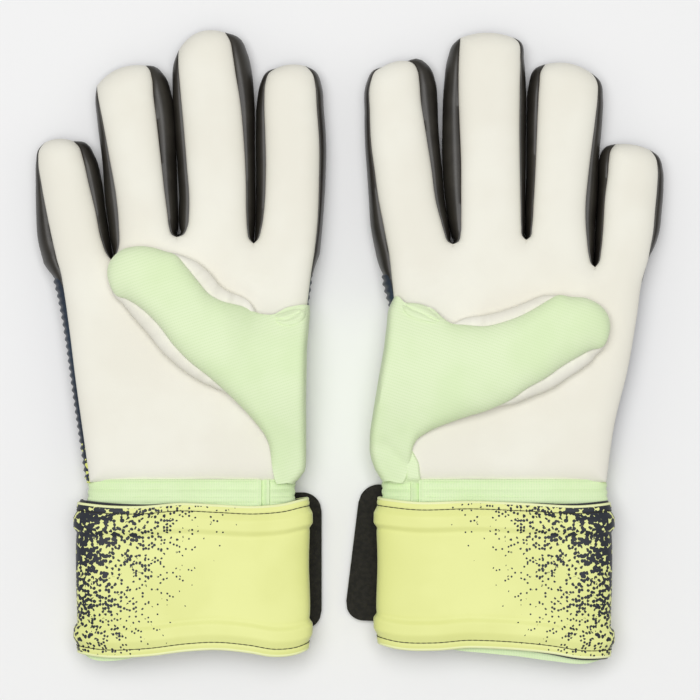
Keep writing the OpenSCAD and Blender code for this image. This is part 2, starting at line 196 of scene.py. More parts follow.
def middle_run(ribs: Array) -> float:
    """Distance from the middle of the first rib to the middle of the last one."""
    return float(np.linalg.norm(ribs[-1].mean(0) - ribs[0].mean(0)))


def running_length(points: Array) -> Array:
    """Length of a path up to each of its points."""
    return np.concatenate([[0.0], np.cumsum(np.linalg.norm(np.diff(points, axis=0), axis=1))])


def hermite(knots: Array, rows: Array, at: Array) -> Array:
    """Smooth curve through rows that stand at rising knots.

    Args:
        knots: Place of each row, rising.
        rows: One control row for each knot.
        at: Places to read the curve at.

    Returns:
        One row for each place.
    """
    gap = np.diff(knots)
    slope = np.diff(rows, axis=0) / gap[:, None]
    lean = np.vstack([slope[:1], slope, slope[-1:]])
    weight = np.concatenate([[1.0], gap, [1.0]])[:, None]
    tangent = (lean[:-1] * weight[1:] + lean[1:] * weight[:-1]) / (weight[1:] + weight[:-1])
    i = np.clip(np.searchsorted(knots, at, side="right") - 1, 0, len(knots) - 2)
    h = gap[i][:, None]
    t = (at - knots[i])[:, None] / h
    t2, t3 = t * t, t * t * t
    return (rows[i] * (2 * t3 - 3 * t2 + 1) + tangent[i] * h * (t3 - 2 * t2 + t)
            + rows[i + 1] * (3 * t2 - 2 * t3) + tangent[i + 1] * h * (t3 - t2))


def path_at(controls: Edge, share: Array) -> Array:
    """Rows of a smooth curve through control points, at shares of its length in plan.

    Args:
        controls: Control rows that start with (x, y).
        share: Shares of the length.

    Returns:
        One row for each share.
    """
    rows = np.asarray(controls, float)
    knots = running_length(rows[:, :2])
    return hermite(knots, rows, share * knots[-1])


def smooth_path(controls: Edge, count: int) -> Array:
    """Evenly spaced rows on a smooth curve through control points."""
    return path_at(controls, shares(count))


def profile(stops: Stops, at: Array) -> Array:
    """Value of a smooth profile given as (place, value) stops, held level past its ends."""
    rows = np.asarray(stops, float)
    return hermite(rows[:, 0], rows[:, 1:], np.clip(at, rows[0, 0], rows[-1, 0]))[:, 0]


def plan_normal(path: Array, turn: float) -> Array:
    """Unit sideways direction of a path in plan; turn +1 is to its right, -1 to its left.

    Args:
        path: Points that start with (x, y).
        turn: Which side.

    Returns:
        One direction (x, y) for each point.
    """
    tangent = np.gradient(path[:, :2], axis=0)
    tangent /= np.maximum(np.linalg.norm(tangent, axis=1), 1e-9)[:, None]
    return turn * np.stack([tangent[:, 1], -tangent[:, 0]], axis=1)


def beside(path: Array, out: Array, reach: Array, z: Array) -> Array:
    """Points that lie beside a path by a reach along its sideways direction, at a height."""
    return np.column_stack((path[:, :2] + out * np.reshape(reach, (-1, 1)), z))


def sections(path: Array, out: Array, steps: Sequence[Tuple[Array, Array]], count: int) -> Array:
    """Curved sections beside a path, each a cubic Bezier.

    Args:
        path: Points that start with (x, y).
        out: Sideways direction at each point.
        steps: Start, two handles and end, each as a reach along that direction and a height.
        count: Points in a section.

    Returns:
        One section for each point of the path.
    """
    a, b, c, d = (beside(path, out, reach, z)[:, None] for reach, z in steps)
    t = shares(count)[:, None]
    u = 1.0 - t
    return a * u ** 3 + 3 * b * u * u * t + 3 * c * u * t * t + d * t ** 3


def ribs_between(low: Array, high: Array, cols: int, bow: float, start: float) -> Array:
    """Ribs in plan from a low edge to a high edge, bowed out towards the tip.

    Args:
        low: Rows of the low edge.
        high: Rows of the high edge.
        cols: Columns of a rib.
        bow: How far the last rib bulges past its two ends.
        start: Share of the length from which the ribs bow.

    Returns:
        Rows by columns of (x, y).
    """
    across = (high - low)[:, None, :2]
    onward = np.concatenate([-across[..., 1:], across[..., :1]], axis=2)
    onward /= np.maximum(np.linalg.norm(onward, axis=2, keepdims=True), 1e-6)
    share = spread_columns(cols)[None, :, None]
    s = shares(len(low))[:, None, None]
    bowed = ease((s - start) / (1.0 - start)) ** 2 * hump(share)
    return low[:, None, :2] + across * share + onward * bow * bowed


def edge_distance(points: Array, outline: Array) -> Array:
    """Distance in plan from each point to a closed outline.

    Args:
        points: Points that start with (x, y), in any grid.
        outline: Corners (x, y).

    Returns:
        The distances, in the same grid.
    """
    flat = points.reshape(-1, points.shape[-1])[:, :2]
    side = np.roll(outline, -1, axis=0) - outline
    square = np.maximum((side * side).sum(1), 1e-12)
    best = []
    for batch in np.array_split(flat, len(flat) // 2000 + 1):
        rest = batch[:, None] - outline
        along = np.clip((rest * side).sum(2) / square, 0.0, 1.0)
        best.append(np.linalg.norm(rest - along[..., None] * side, axis=2).min(1))
    return np.concatenate(best).reshape(points.shape[:-1])


def sheet_area(points: Array) -> float:
    """Area of a grid of points, from the diagonals of its cells, in square millimetres."""
    a, b = points[1:, 1:] - points[:-1, :-1], points[1:, :-1] - points[:-1, 1:]
    return float(0.5 * np.linalg.norm(np.cross(a, b), axis=2).sum())


@dataclass(frozen=True)
class HandFrame:
    """Where one glove's hand frame lies.

    Attributes:
        side: Which hand.
        wrist_x: The wrist's middle in the row frame, in millimetres.
        sign: 1, or -1 for the mirrored hand.
    """

    side: Side
    wrist_x: float
    sign: int

    def world(self, points: Array) -> Array:
        """Points of the hand frame, in millimetres, as points of the row frame, in metres."""
        turned = points * np.array([self.sign, 1.0, 1.0])
        return (turned + np.array([self.wrist_x, -WRIST_SEAM_Y, 0.0])) * MM

    def spot(self, x: float, y: float, z: float) -> Tuple[float, float, float]:
        """One point of the hand frame in the row frame."""
        return tuple(self.world(np.array([x, y, z])))

    def node(self, name: str) -> str:
        """Name of this hand's CAD node, body or piece."""
        return f"{self.side.value}_{name}"


# Mesh making


def deselect() -> None:
    """Leave nothing selected, since operators act on all that is."""
    if bpy.context.mode != "OBJECT":
        bpy.ops.object.mode_set(mode="OBJECT")
    bpy.ops.object.select_all(action="DESELECT")


def activate(*pieces: Piece) -> None:
    """Select only these pieces, with the first one active.

    Args:
        *pieces: What to select.
    """
    deselect()
    for piece in pieces:
        piece.select_set(True)
    bpy.context.view_layer.objects.active = pieces[0]


def rename(piece: Piece, name: str) -> Piece:
    """Name a piece and its mesh, and hand it back."""
    piece.name = piece.data.name = name
    return piece


def edit_all(*steps: Callable[[], object]) -> None:
    """Run mesh operators on the active object, each with everything selected.

    Args:
        *steps: Operators without arguments.
    """
    bpy.ops.object.mode_set(mode="EDIT")
    for step in steps:
        bpy.ops.mesh.select_all(action="SELECT")
        step()
    bpy.ops.object.mode_set(mode="OBJECT")


def merge_seam() -> None:
    """Merge the points that lie on each other."""
    bpy.ops.mesh.remove_doubles(threshold=1e-7)


def fill_ends() -> None:
    """Close the open ends."""
    bpy.ops.mesh.fill_holes(sides=0)


def face_outwards() -> None:
    """Turn all faces outwards."""
    bpy.ops.mesh.normals_make_consistent(inside=False)


def grid_piece(name: str, points: Array, hand: HandFrame, uv: Optional[Array] = None,
               ring: bool = False) -> Piece:
    """A grid primitive drawn onto rows and columns of points.

    Args:
        name: Name of the piece.
        points: Rows by columns of points in the hand frame; columns to the right and rows onwards
            turn the face outwards on the right hand.
        hand: The hand frame.
        uv: Rows by columns of pattern places in millimetres; lengths along the grid if left out.
        ring: Whether the last column is the first one again.

    Returns:
        The new object, at the origin, open at its edges.
    """
    rows, cols = points.shape[:2]
    deselect()
    bpy.ops.mesh.primitive_grid_add(x_subdivisions=cols - 1, y_subdivisions=rows - 1, size=1.0,
                                    location=(0.0, 0.0, 0.0))
    piece = rename(bpy.context.active_object, name)
    mesh = piece.data
    mesh.vertices.foreach_set("co", hand.world(points).reshape(-1))
    if uv is None:
        across = np.linalg.norm(np.diff(points, axis=1), axis=2)
        onward = np.linalg.norm(np.diff(points, axis=0), axis=2)
        uv = np.dstack((np.pad(np.cumsum(across, 1), ((0, 0), (1, 0))),
                        np.pad(np.cumsum(onward, 0), ((1, 0), (0, 0)))))
    corner = np.empty(len(mesh.loops), np.int32)
    mesh.loops.foreach_get("vertex_index", corner)
    mesh.uv_layers[0].data.foreach_set("uv", (uv.reshape(-1, 2)[corner] * MM).reshape(-1))
    edit_all(*([merge_seam] if ring else []), *([bpy.ops.mesh.flip_normals] if hand.sign < 0 else []))
    return piece


def mark_seam(piece: Piece, marks: Array) -> None:
    """Store how much of the cut edge shows at each point of a grid piece."""
    layer = piece.data.attributes.new(SEAM_MARK, "FLOAT", "POINT")
    layer.data.foreach_set("value", marks.reshape(-1).astype(np.float32))


def join(pieces: Sequence[Piece], name: str) -> Piece:
    """Join pieces into one object with the given name.

    Args:
        pieces: What to join.
        name: Name of the whole.

    Returns:
        The whole.
    """
    activate(*pieces)
    bpy.ops.object.join()
    return rename(bpy.context.active_object, name)


def tube(path: Array, hand: HandFrame) -> Piece:
    """A round roll along a path, with closed, tapered ends.

    Args:
        path: Points in the hand frame.
        hand: The hand frame.

    Returns:
        The roll.
    """
    onward = np.gradient(path, axis=0)
    onward /= np.linalg.norm(onward, axis=1)[:, None]
    side = np.broadcast_to(np.array([0.0, 1.0, 0.0]), path.shape)
    side = side - (side * onward).sum(1)[:, None] * onward
    side /= np.linalg.norm(side, axis=1)[:, None]
    up = np.cross(onward, side)
    turn = np.linspace(0.0, 2.0 * math.pi, ROLL_SIDES + 1)[None, :, None]
    taper = np.minimum(1.0, 0.15 + np.arange(len(path)) / 3.0)
    reach = ROLL_RADIUS * np.minimum(taper, taper[::-1])[:, None, None]
    points = path[:, None] + reach * (np.cos(turn) * side[:, None] + np.sin(turn) * up[:, None])
    piece = grid_piece("roll", points, hand, ring=True)
    edit_all(fill_ends, face_outwards)
    return piece


def stitch_run(name: str, paths: Sequence[Array], hand: HandFrame, length: float, gap: float,
               radius: float) -> Piece:
    """Stitches along paths: one rounded stitch, modelled once and copied.

    Args:
        name: Name of the piece.
        paths: Points in the hand frame, close together.
        hand: The hand frame.
        length: Length of a stitch.
        gap: Gap between stitches.
        radius: Radius of the thread.

    Returns:
        All stitches as one object.
    """
    deselect()
    bpy.ops.mesh.primitive_uv_sphere_add(segments=6, ring_count=5, radius=radius * MM,
                                         location=(0.0, 0.0, 0.0))
    piece = rename(bpy.context.active_object, name)
    pattern = piece.data.copy()
    pattern.transform(Matrix.Diagonal((0.9, 0.9, 0.5 * length / radius, 1.0)))
    merged = bmesh.new()
    for path in paths:
        world = hand.world(path)
        run = running_length(path)
        for place in np.arange(length, run[-1] - length, length + gap):
            start, middle, end = (Vector([np.interp(place + d, run, world[:, k]) for k in range(3)])
                                  for d in (-0.5 * length, 0.0, 0.5 * length))
            turn = (end - start).to_track_quat("Z", "Y").to_matrix().to_4x4()
            before = len(merged.verts)
            merged.from_mesh(pattern)
            merged.verts.ensure_lookup_table()
            bmesh.ops.transform(merged, matrix=Matrix.Translation(middle) @ turn, verts=merged.verts[before:])
    merged.to_mesh(piece.data)
    merged.free()
    bpy.data.meshes.remove(pattern)
    activate(piece)
    bpy.ops.object.shade_smooth()
    return piece


# Shader groups and finishes


def srgb(red: int, green: int, blue: int) -> Colour:
    """A colour written as it shows, from 0 to 255, as the linear colour that nodes take."""
    parts = [c / 255.0 for c in (red, green, blue)]
    return tuple(c / 12.92 if c <= 0.04045 else ((c + 0.055) / 1.055) ** 2.4 for c in parts) + (1.0,)


class NodeSheet:
    """A node tree with short calls for adding and joining nodes."""

    def __init__(self, tree: bpy.types.NodeTree) -> None:
        """Start on a tree."""
        self.tree = tree

    def feed(self, socket: Socket, value: object) -> None:
        """Give an input a plain value, or join it to an output.

        Args:
            socket: The input.
            value: A plain value or an output.
        """
        if isinstance(value, Socket):
            self.tree.links.new(value, socket)
        else:
            socket.default_value = value

    def add(self, kind: str, values: Optional[Dict[object, object]] = None,
            **settings: object) -> bpy.types.Node:
        """Add a node.

        Args:
            kind: Node type without its ShaderNode prefix.
            values: Inputs by name or number, as plain values or as outputs to join.
            **settings: Properties of the node.

        Returns:
            The node.
        """
        node = self.tree.nodes.new("ShaderNode" + kind)
        for key, value in settings.items():
            setattr(node, key, value)
        for key, value in (values or {}).items():
            self.feed(node.inputs[key], value)
        return node

    def math(self, operation: str, a: object, b: object = 0.0) -> Socket:
        """One step of arithmetic."""
        return self.add("Math", {0: a, 1: b}, operation=operation).outputs[0]

    def noise(self, place: Socket, scale: object, detail: float, rough: float = 0.5) -> Socket:
        """Noise between 0 and 1."""
        values = {"Vector": place, "Scale": scale, "Detail": detail, "Roughness": rough}
        return self.add("TexNoise", values).outputs["Fac"]

    def relief(self, height: Socket, depth: float, under: Optional[Socket] = None) -> Socket:
        """Normal of a height from 0 to 1, with its depth in metres, over the normal that is under it."""
        below = {"Normal": under} if under else {}
        return self.add("Bump", {"Height": height, "Distance": depth, "Strength": 1.0, **below}).outputs[0]

    def ramp(self, value: object, low: float, high: float, to_low: float = 0.0,
             to_high: float = 1.0) -> Socket:
        """A value smoothly mapped from its own range, low to high, to the range from to_low to to_high."""
        ends = {"From Min": low, "From Max": high, "To Min": to_low, "To Max": to_high}
        return self.add("MapRange", {"Value": value, **ends}, interpolation_type="SMOOTHSTEP").outputs[0]

    def blend(self, share: object, a: object, b: object) -> Socket:
        """Mix of two colours."""
        return self.add("Mix", {0: share, 6: a, 7: b}, data_type="RGBA").outputs[2]


FLOAT = "NodeSocketFloat"
COLOUR = "NodeSocketColor"
VECTOR = "NodeSocketVector"
WHITE = (1.0, 1.0, 1.0, 1.0)


def make_group(name: str, inputs: Dict[str, Tuple[str, object]], outputs: Dict[str, str],
               fill: Callable[[NodeSheet, Sockets], Sockets]) -> bpy.types.NodeTree:
    """Build a shader node group.

    Args:
        name: Name of the group.
        inputs: Socket kind and default value by input name, besides the place that every group reads.
        outputs: Socket kind by output name.
        fill: Adds the nodes and returns the socket for each output.

    Returns:
        The group's tree.
    """
    tree = bpy.data.node_groups.new(name, "ShaderNodeTree")
    inputs = {"Vector": (VECTOR, (0.0, 0.0, 0.0)), **inputs}
    for key, (kind, value) in inputs.items():
        tree.interface.new_socket(key, in_out="INPUT", socket_type=kind).default_value = value
    for key, kind in outputs.items():
        tree.interface.new_socket(key, in_out="OUTPUT", socket_type=kind)
    entry = tree.nodes.new("NodeGroupInput")
    leave = tree.nodes.new("NodeGroupOutput")
    made = fill(NodeSheet(tree), {key: entry.outputs[key] for key in inputs})
    for key, socket in made.items():
        tree.links.new(socket, leave.inputs[key])
    return tree


def fill_grain(sheet: NodeSheet, take: Sockets) -> Sockets:
    """Uneven face of a foam, film or cloth: two tones in slow clouds, and a height from fine noise.

    Args:
        sheet: The group's nodes.
        take: Its inputs.

    Returns:
        Its outputs.
    """
    clouds = sheet.noise(take["Vector"], take["Cloud Scale"], 3.0)
    fine = sheet.noise(take["Vector"], take["Grain Scale"], 4.0, 0.6)
    share = sheet.ramp(clouds, 0.35, 0.65)
    return {"Color": sheet.blend(share, take["Tone A"], take["Tone B"]), "Height": fine}


def fill_rib(sheet: NodeSheet, take: Sockets) -> Sockets:
    """Knitted rows: ribs across one turned axis, broken up into stitches along the other, and how deep in a
    groove each place lies, for shade painted into the grooves.

    Args:
        sheet: The group's nodes.
        take: Its inputs.

    Returns:
        Its outputs.
    """
    turned = sheet.add("VectorRotate", {"Vector": take["Vector"], "Angle": take["Turn"]},
                       rotation_type="Z_AXIS")
    axes = sheet.add("SeparateXYZ", {"Vector": turned.outputs[0]})
    wobble = sheet.noise(take["Vector"], 180.0, 2.0)
    stray = sheet.math("MULTIPLY", sheet.math("SUBTRACT", wobble, 0.5), 1.6)

    def wave(axis: str, pitch: str, shift: Socket) -> Socket:
        """A wave along an axis, shifted."""
        turns = sheet.math("DIVIDE", axes.outputs[axis], take[pitch])
        return sheet.math("SINE", sheet.math("ADD", sheet.math("MULTIPLY", turns, 2.0 * math.pi), shift))

    rib = wave("Y", "Pitch", stray)
    loop = wave("X", "Stitch", sheet.math("MULTIPLY", rib, 1.2))
    height = sheet.math("ADD", sheet.math("MULTIPLY", rib, 0.36), sheet.math("MULTIPLY", loop, 0.14))
    height = sheet.math("ADD", height, 0.5)
    # The second output marks the low places between ribs, where the knit finishes paint in shade
    return {"Height": height, "Groove Shade": sheet.ramp(height, 0.42, 0.12)}


def fill_speckle(sheet: NodeSheet, take: Sockets) -> Sockets:
    """Flecks in a share of the cells; share and size grow with the density and a slower noise.

    Args:
        sheet: The group's nodes.
        take: Its inputs.

    Returns:
        Its outputs.
    """
    cells = sheet.add("TexVoronoi", {"Vector": take["Vector"], "Scale": take["Scale"], "Randomness": 1.0},
                      voronoi_dimensions="2D")
    slow = sheet.math("MULTIPLY", take["Scale"], 0.22)
    patches = sheet.noise(take["Vector"], slow, 3.0, 0.65)
    uneven = sheet.math("MULTIPLY", sheet.math("SUBTRACT", patches, 0.5), 0.6)
    crowd = sheet.math("ADD", take["Density"], uneven)
    chance = sheet.add("SeparateColor", {"Color": cells.outputs["Color"]}).outputs["Red"]
    often = sheet.math("MINIMUM", sheet.math("MULTIPLY", crowd, 1.25), 0.87)
    taken = sheet.math("LESS_THAN", chance, often)
    reach = sheet.ramp(crowd, 0.0, 0.85, 0.28, 0.8)
    inside = sheet.math("SUBTRACT", reach, cells.outputs["Distance"])
    return {"Mask": sheet.math("MULTIPLY", taken, sheet.ramp(inside, -0.02, 0.03))}


@dataclass
class Groups:
    """The shader groups, built once and placed in every material that needs them."""

    grain: bpy.types.NodeTree
    ribs: bpy.types.NodeTree
    speckle: bpy.types.NodeTree

    @classmethod
    def build(cls) -> "Groups":
        """Build all groups.

        Returns:
            The groups.
        """
        grain = make_group("foam_grain", {
            "Tone A": (COLOUR, WHITE), "Tone B": (COLOUR, WHITE),
            "Cloud Scale": (FLOAT, 40.0), "Grain Scale": (FLOAT, 1500.0),
        }, {"Color": COLOUR, "Height": FLOAT}, fill_grain)
        # The ribs group gives a height, and a mask where shade is painted into the grooves
        ribs = make_group("knit_ribs", {
            "Turn": (FLOAT, 0.0), "Pitch": (FLOAT, 0.0011), "Stitch": (FLOAT, 0.0008),
        }, {"Height": FLOAT, "Groove Shade": FLOAT}, fill_rib)
        speckle = make_group("speckle", {
            "Scale": (FLOAT, 800.0), "Density": (FLOAT, 0.5),
        }, {"Mask": FLOAT}, fill_speckle)
        return cls(grain, ribs, speckle)


@dataclass
class Face:
    """A material's face while it is being made.

    Attributes:
        sheet: The material's nodes.
        groups: The shader groups.
        uv: Place on the pattern.
        tone: Its colour so far.
        normal: Its normal so far.
    """

    sheet: NodeSheet
    groups: Groups
    uv: Socket
    tone: Socket
    normal: Socket


@dataclass(frozen=True)
class Finish:
    """A finish with two close tones, a fine grain and a soft sheen.

    Attributes:
        name: Material name.
        tone_a: One tone.
        tone_b: The other tone.
        rough: Roughness.
        grain: Grain cells per metre.
        cloud: Tone patches per metre.
        bump: Height of the grain in metres.
        sheen: Weight of the cloth sheen.
        specular: Specular level.
    """

    name: str
    tone_a: Colour
    tone_b: Colour
    rough: float
    grain: float = 1500.0
    cloud: float = 40.0
    bump: float = 0.00004
    sheen: float = 0.0
    specular: float = 0.3

    def dress(self, groups: Groups) -> bpy.types.Material:
        """Build the material.

        Args:
            groups: The shader groups.

        Returns:
            The material.
        """
        material = bpy.data.materials.new(self.name)
        material.use_nodes = True
        material.diffuse_color = self.tone_a
        sheet = NodeSheet(material.node_tree)
        place = sheet.add("TexCoord")
        grain = sheet.add("Group", node_tree=groups.grain, values={
            "Vector": place.outputs["Object"], "Tone A": self.tone_a, "Tone B": self.tone_b,
            "Grain Scale": self.grain, "Cloud Scale": self.cloud})
        fine = sheet.relief(grain.outputs["Height"], self.bump)
        face = Face(sheet, groups, place.outputs["UV"], grain.outputs["Color"], fine)
        self.cover(face)
        shader = material.node_tree.nodes["Principled BSDF"]
        for key, value in (("Base Color", face.tone), ("Normal", face.normal), ("Roughness", self.rough),
                           ("Specular IOR Level", self.specular), ("Sheen Weight", self.sheen),
                           ("Sheen Roughness", 0.6)):
            sheet.feed(shader.inputs[key], value)
        return material

    def cover(self, face: Face) -> None:
        """Leave the grain as it is; other finishes add to the face here."""


@dataclass(frozen=True)
class SeamFinish(Finish):
    """A foam whose cut edge shows as a thin line at the seams.

    Attributes:
        cut_edge: Colour of the cut edge.
    """

    cut_edge: Colour = WHITE

    def cover(self, face: Face) -> None:
        """Show the cut edge where a seam is marked."""
        seam = face.sheet.add("Attribute", attribute_name=SEAM_MARK)
        face.tone = face.sheet.blend(seam.outputs["Fac"], face.tone, self.cut_edge)


@dataclass(frozen=True)
class KnitFinish(Finish):
    """A knitted cloth.

    Attributes:
        groove_shade: Painted shade, a darker colour laid into the grooves between the ribs.
        turn: Angle of the ribs on the pattern, in radians.
        pitch: Rib to rib, in metres.
        stitch: Stitch to stitch along a rib, in metres.
        relief: Height of the ribs, in metres.
        shade: Share of that painted shade that shows in the grooves.
    """

    groove_shade: Colour = WHITE
    turn: float = 0.0
    pitch: float = 0.0011
    stitch: float = 0.0008
    relief: float = 0.00012
    shade: float = 0.45

    def cover(self, face: Face) -> None:
        """Lay ribs over the grain, and paint shade into their grooves.

        Args:
            face: The face.
        """
        sheet = face.sheet
        ribs = sheet.add("Group", node_tree=face.groups.ribs, values={
            "Vector": face.uv, "Turn": self.turn, "Pitch": self.pitch, "Stitch": self.stitch})
        # Painted shade: the grooves between the ribs are darkened towards the groove colour
        shade = sheet.math("MULTIPLY", ribs.outputs["Groove Shade"], self.shade)
        face.tone = sheet.blend(shade, face.tone, self.groove_shade)
        face.normal = sheet.relief(ribs.outputs["Height"], self.relief, face.normal)


@dataclass(frozen=True)
class SpeckleFinish(Finish):
    """A coated foam with flecks that fade out across it.

    Attributes:
        fleck: Colour of the flecks.
        fleck_scale: Flecks per metre.
        full: Pattern place (u, v) in metres where the flecks are thickest.
        reach: Metres along u and along v over which they fade out.
        most: Density where they are thickest.
    """

    fleck: Colour = WHITE
    fleck_scale: float = 800.0
    full: Tuple[float, float] = (0.0, 0.0)
    reach: Tuple[float, float] = (0.08, 0.1)
    most: float = 1.0

    def cover(self, face: Face) -> None:
        """Scatter flecks over the grain.

        Args:
            face: The face.
        """
        sheet = face.sheet
        axes = sheet.add("SeparateXYZ", {"Vector": face.uv})
        far = []
        for axis, full, reach in zip("XY", self.full, self.reach):
            away = sheet.math("ABSOLUTE", sheet.math("SUBTRACT", axes.outputs[axis], full))
            far.append(sheet.math("DIVIDE", away, reach))
        fade = sheet.math("SUBTRACT", self.most, sheet.math("ADD", *far))
        flecks = sheet.add("Group", node_tree=face.groups.speckle, values={
            "Vector": face.uv, "Scale": self.fleck_scale, "Density": fade})
        face.tone = sheet.blend(flecks.outputs["Mask"], face.tone, self.fleck)


LATEX = SeamFinish("latex_foam", srgb(236, 234, 222), srgb(232, 229, 216), 0.68, grain=2200.0, cloud=28.0,
                   bump=0.00003, sheen=0.1, cut_edge=srgb(200, 176, 138))
GUSSET = Finish("coated_gusset", srgb(49, 46, 40), srgb(40, 37, 32), 0.43, grain=1600.0, cloud=90.0,
                specular=0.42)
NAVY = SpeckleFinish("ribbed_foam", srgb(30, 46, 63), srgb(22, 34, 49), 0.6, grain=1400.0, bump=0.00005,
                     sheen=0.15, fleck=srgb(222, 228, 120), fleck_scale=620.0, reach=(9.0, 0.036), most=0.62)
FINGER_NAVY = Finish("finger_foam", srgb(30, 46, 63), srgb(22, 34, 49), 0.6, grain=1400.0, bump=0.00005,
                     sheen=0.15)
# The knits' groove colours are shade painted into the grooves between the ribs
THUMB_KNIT = KnitFinish("thumb_knit", srgb(225, 239, 199), srgb(219, 236, 191), 0.75, sheen=0.2,
                        groove_shade=srgb(206, 229, 174), turn=math.radians(-18.0), pitch=0.00125, stitch=0.0009,
                        relief=0.00004)
BAND_KNIT = KnitFinish("band_knit", srgb(222, 239, 194), srgb(216, 235, 186), 0.8, sheen=0.2,
                       groove_shade=srgb(200, 232, 172), turn=math.radians(90.0), stitch=0.0011, relief=0.00004)
STRAP_FACE = SpeckleFinish("strap_face", srgb(230, 234, 154), srgb(225, 229, 147), 0.52, grain=1700.0,
                           cloud=30.0, bump=0.00003, sheen=0.08, fleck=srgb(38, 42, 50), fleck_scale=740.0,
                           full=(0.0, -0.01), reach=(0.09, 0.16), most=0.89)
# The linings' groove colours are also shade painted into the grooves between the ribs
LINING = KnitFinish("lining_cloth", srgb(236, 236, 230), srgb(228, 228, 222), 0.85, sheen=0.2,
                    groove_shade=srgb(206, 206, 200), pitch=0.0009, stitch=0.0009, relief=0.00006)
DARK_LINING = KnitFinish("dark_lining", srgb(40, 42, 48), srgb(34, 36, 42), 0.85, sheen=0.2,
                         groove_shade=srgb(24, 25, 30), pitch=0.0009, stitch=0.0009, relief=0.00006)
HOOK = Finish("hook_fuzz", srgb(36, 34, 29), srgb(24, 23, 19), 0.9, grain=900.0, cloud=500.0, bump=0.0003,
              sheen=0.3, specular=0.15)
BINDING = Finish("strap_binding", srgb(236, 240, 186), srgb(230, 235, 176), 0.6, sheen=0.1)
THREAD = Finish("dark_thread", srgb(52, 50, 36), srgb(42, 40, 30), 0.7, grain=2600.0)


# Cuts of the two gloves


@dataclass(frozen=True)
class FingerCut:
    """One finger's front panel.

    Attributes:
        name: Finger.
        low: Edge on the little-finger side, (x, y, gusset width), from the root to the tip.
        high: Edge on the thumb side.
        bow: How far the tip's edge bulges past its two corners.
        low_tail: Gusset controls below the root on the low side, on the hand's own edge.
        high_tail: The same on the high side.
    """

    name: str
    low: Edge
    high: Edge
    bow: float
    low_tail: Edge = ()
    high_tail: Edge = ()


@dataclass(frozen=True)
class ThumbCut:
    """The folded thumb.

    Attributes:
        low: Knit edge on the wrist side, (x, y, latex rim width, z), from the hinge to the tip.
        high: Knit edge on the finger side.
        bow: How far the tip's edge bulges past its two corners.
        fold: Outer line of the fold over the thumb edge, (y, x).
        tuck: Middle line of the pinched tuck between thumb and palm, (x, y, half width).
        corner: Palm-side edge of the wrist corner, (y, x).
        crease: Both ends (x, y) of the soft crease across the base, if it has one.
        corner_rise: How far the wrist corner's inner part stands above the rest of it.
    """

    low: Edge
    high: Edge
    bow: float
    fold: Stops
    tuck: Edge
    corner: Stops
    crease: Stops = ()
    corner_rise: float = 0.0


@dataclass(frozen=True)
class WristCut:
    """Strap, wristband and hook tab of one glove.

    Attributes:
        top: Strap's edge at the hand, (x, y).
        bottom: Strap's far edge, (x, y).
        band_end: Wristband's far edge, (x, y).
        half: Half of the width over the strap's folds.
        middle: Place of the strap's middle across the hand.
        band: Half width of the wristband at the palm, and the place of its middle.
        facing: How far the dark facing shows past the strap's edge at the hand and past its far edge.
        seam_x: Place of the wristband's seam.
        tab: Hook tab: reach past the middle, its middle's y, and its turn in degrees.
    """

    top: Stops
    bottom: Stops
    band_end: Stops
    half: float
    middle: float
    band: Tuple[float, float]
    facing: Tuple[float, float]
    seam_x: float
    tab: Tuple[float, float, float]


@dataclass(frozen=True)
class GloveCut:
    """All edges of one glove.

    Attributes:
        hand: The hand frame.
        fingers: The four fingers, from the little finger on.
        palm_low: The palm's edge on the little-finger side, (x, y).
        palm_high: Its edge on the thumb side.
        low_rim: How far the backhand shows past the palm on the little-finger side, (y, width).
        high_rim: The same on the thumb side.
        thumb: The thumb.
        wrist: Strap, wristband and hook tab.
    """

    hand: HandFrame
    fingers: Tuple[FingerCut, ...]
    palm_low: Edge
    palm_high: Edge
    low_rim: Stops
    high_rim: Stops
    thumb: ThumbCut
    wrist: WristCut


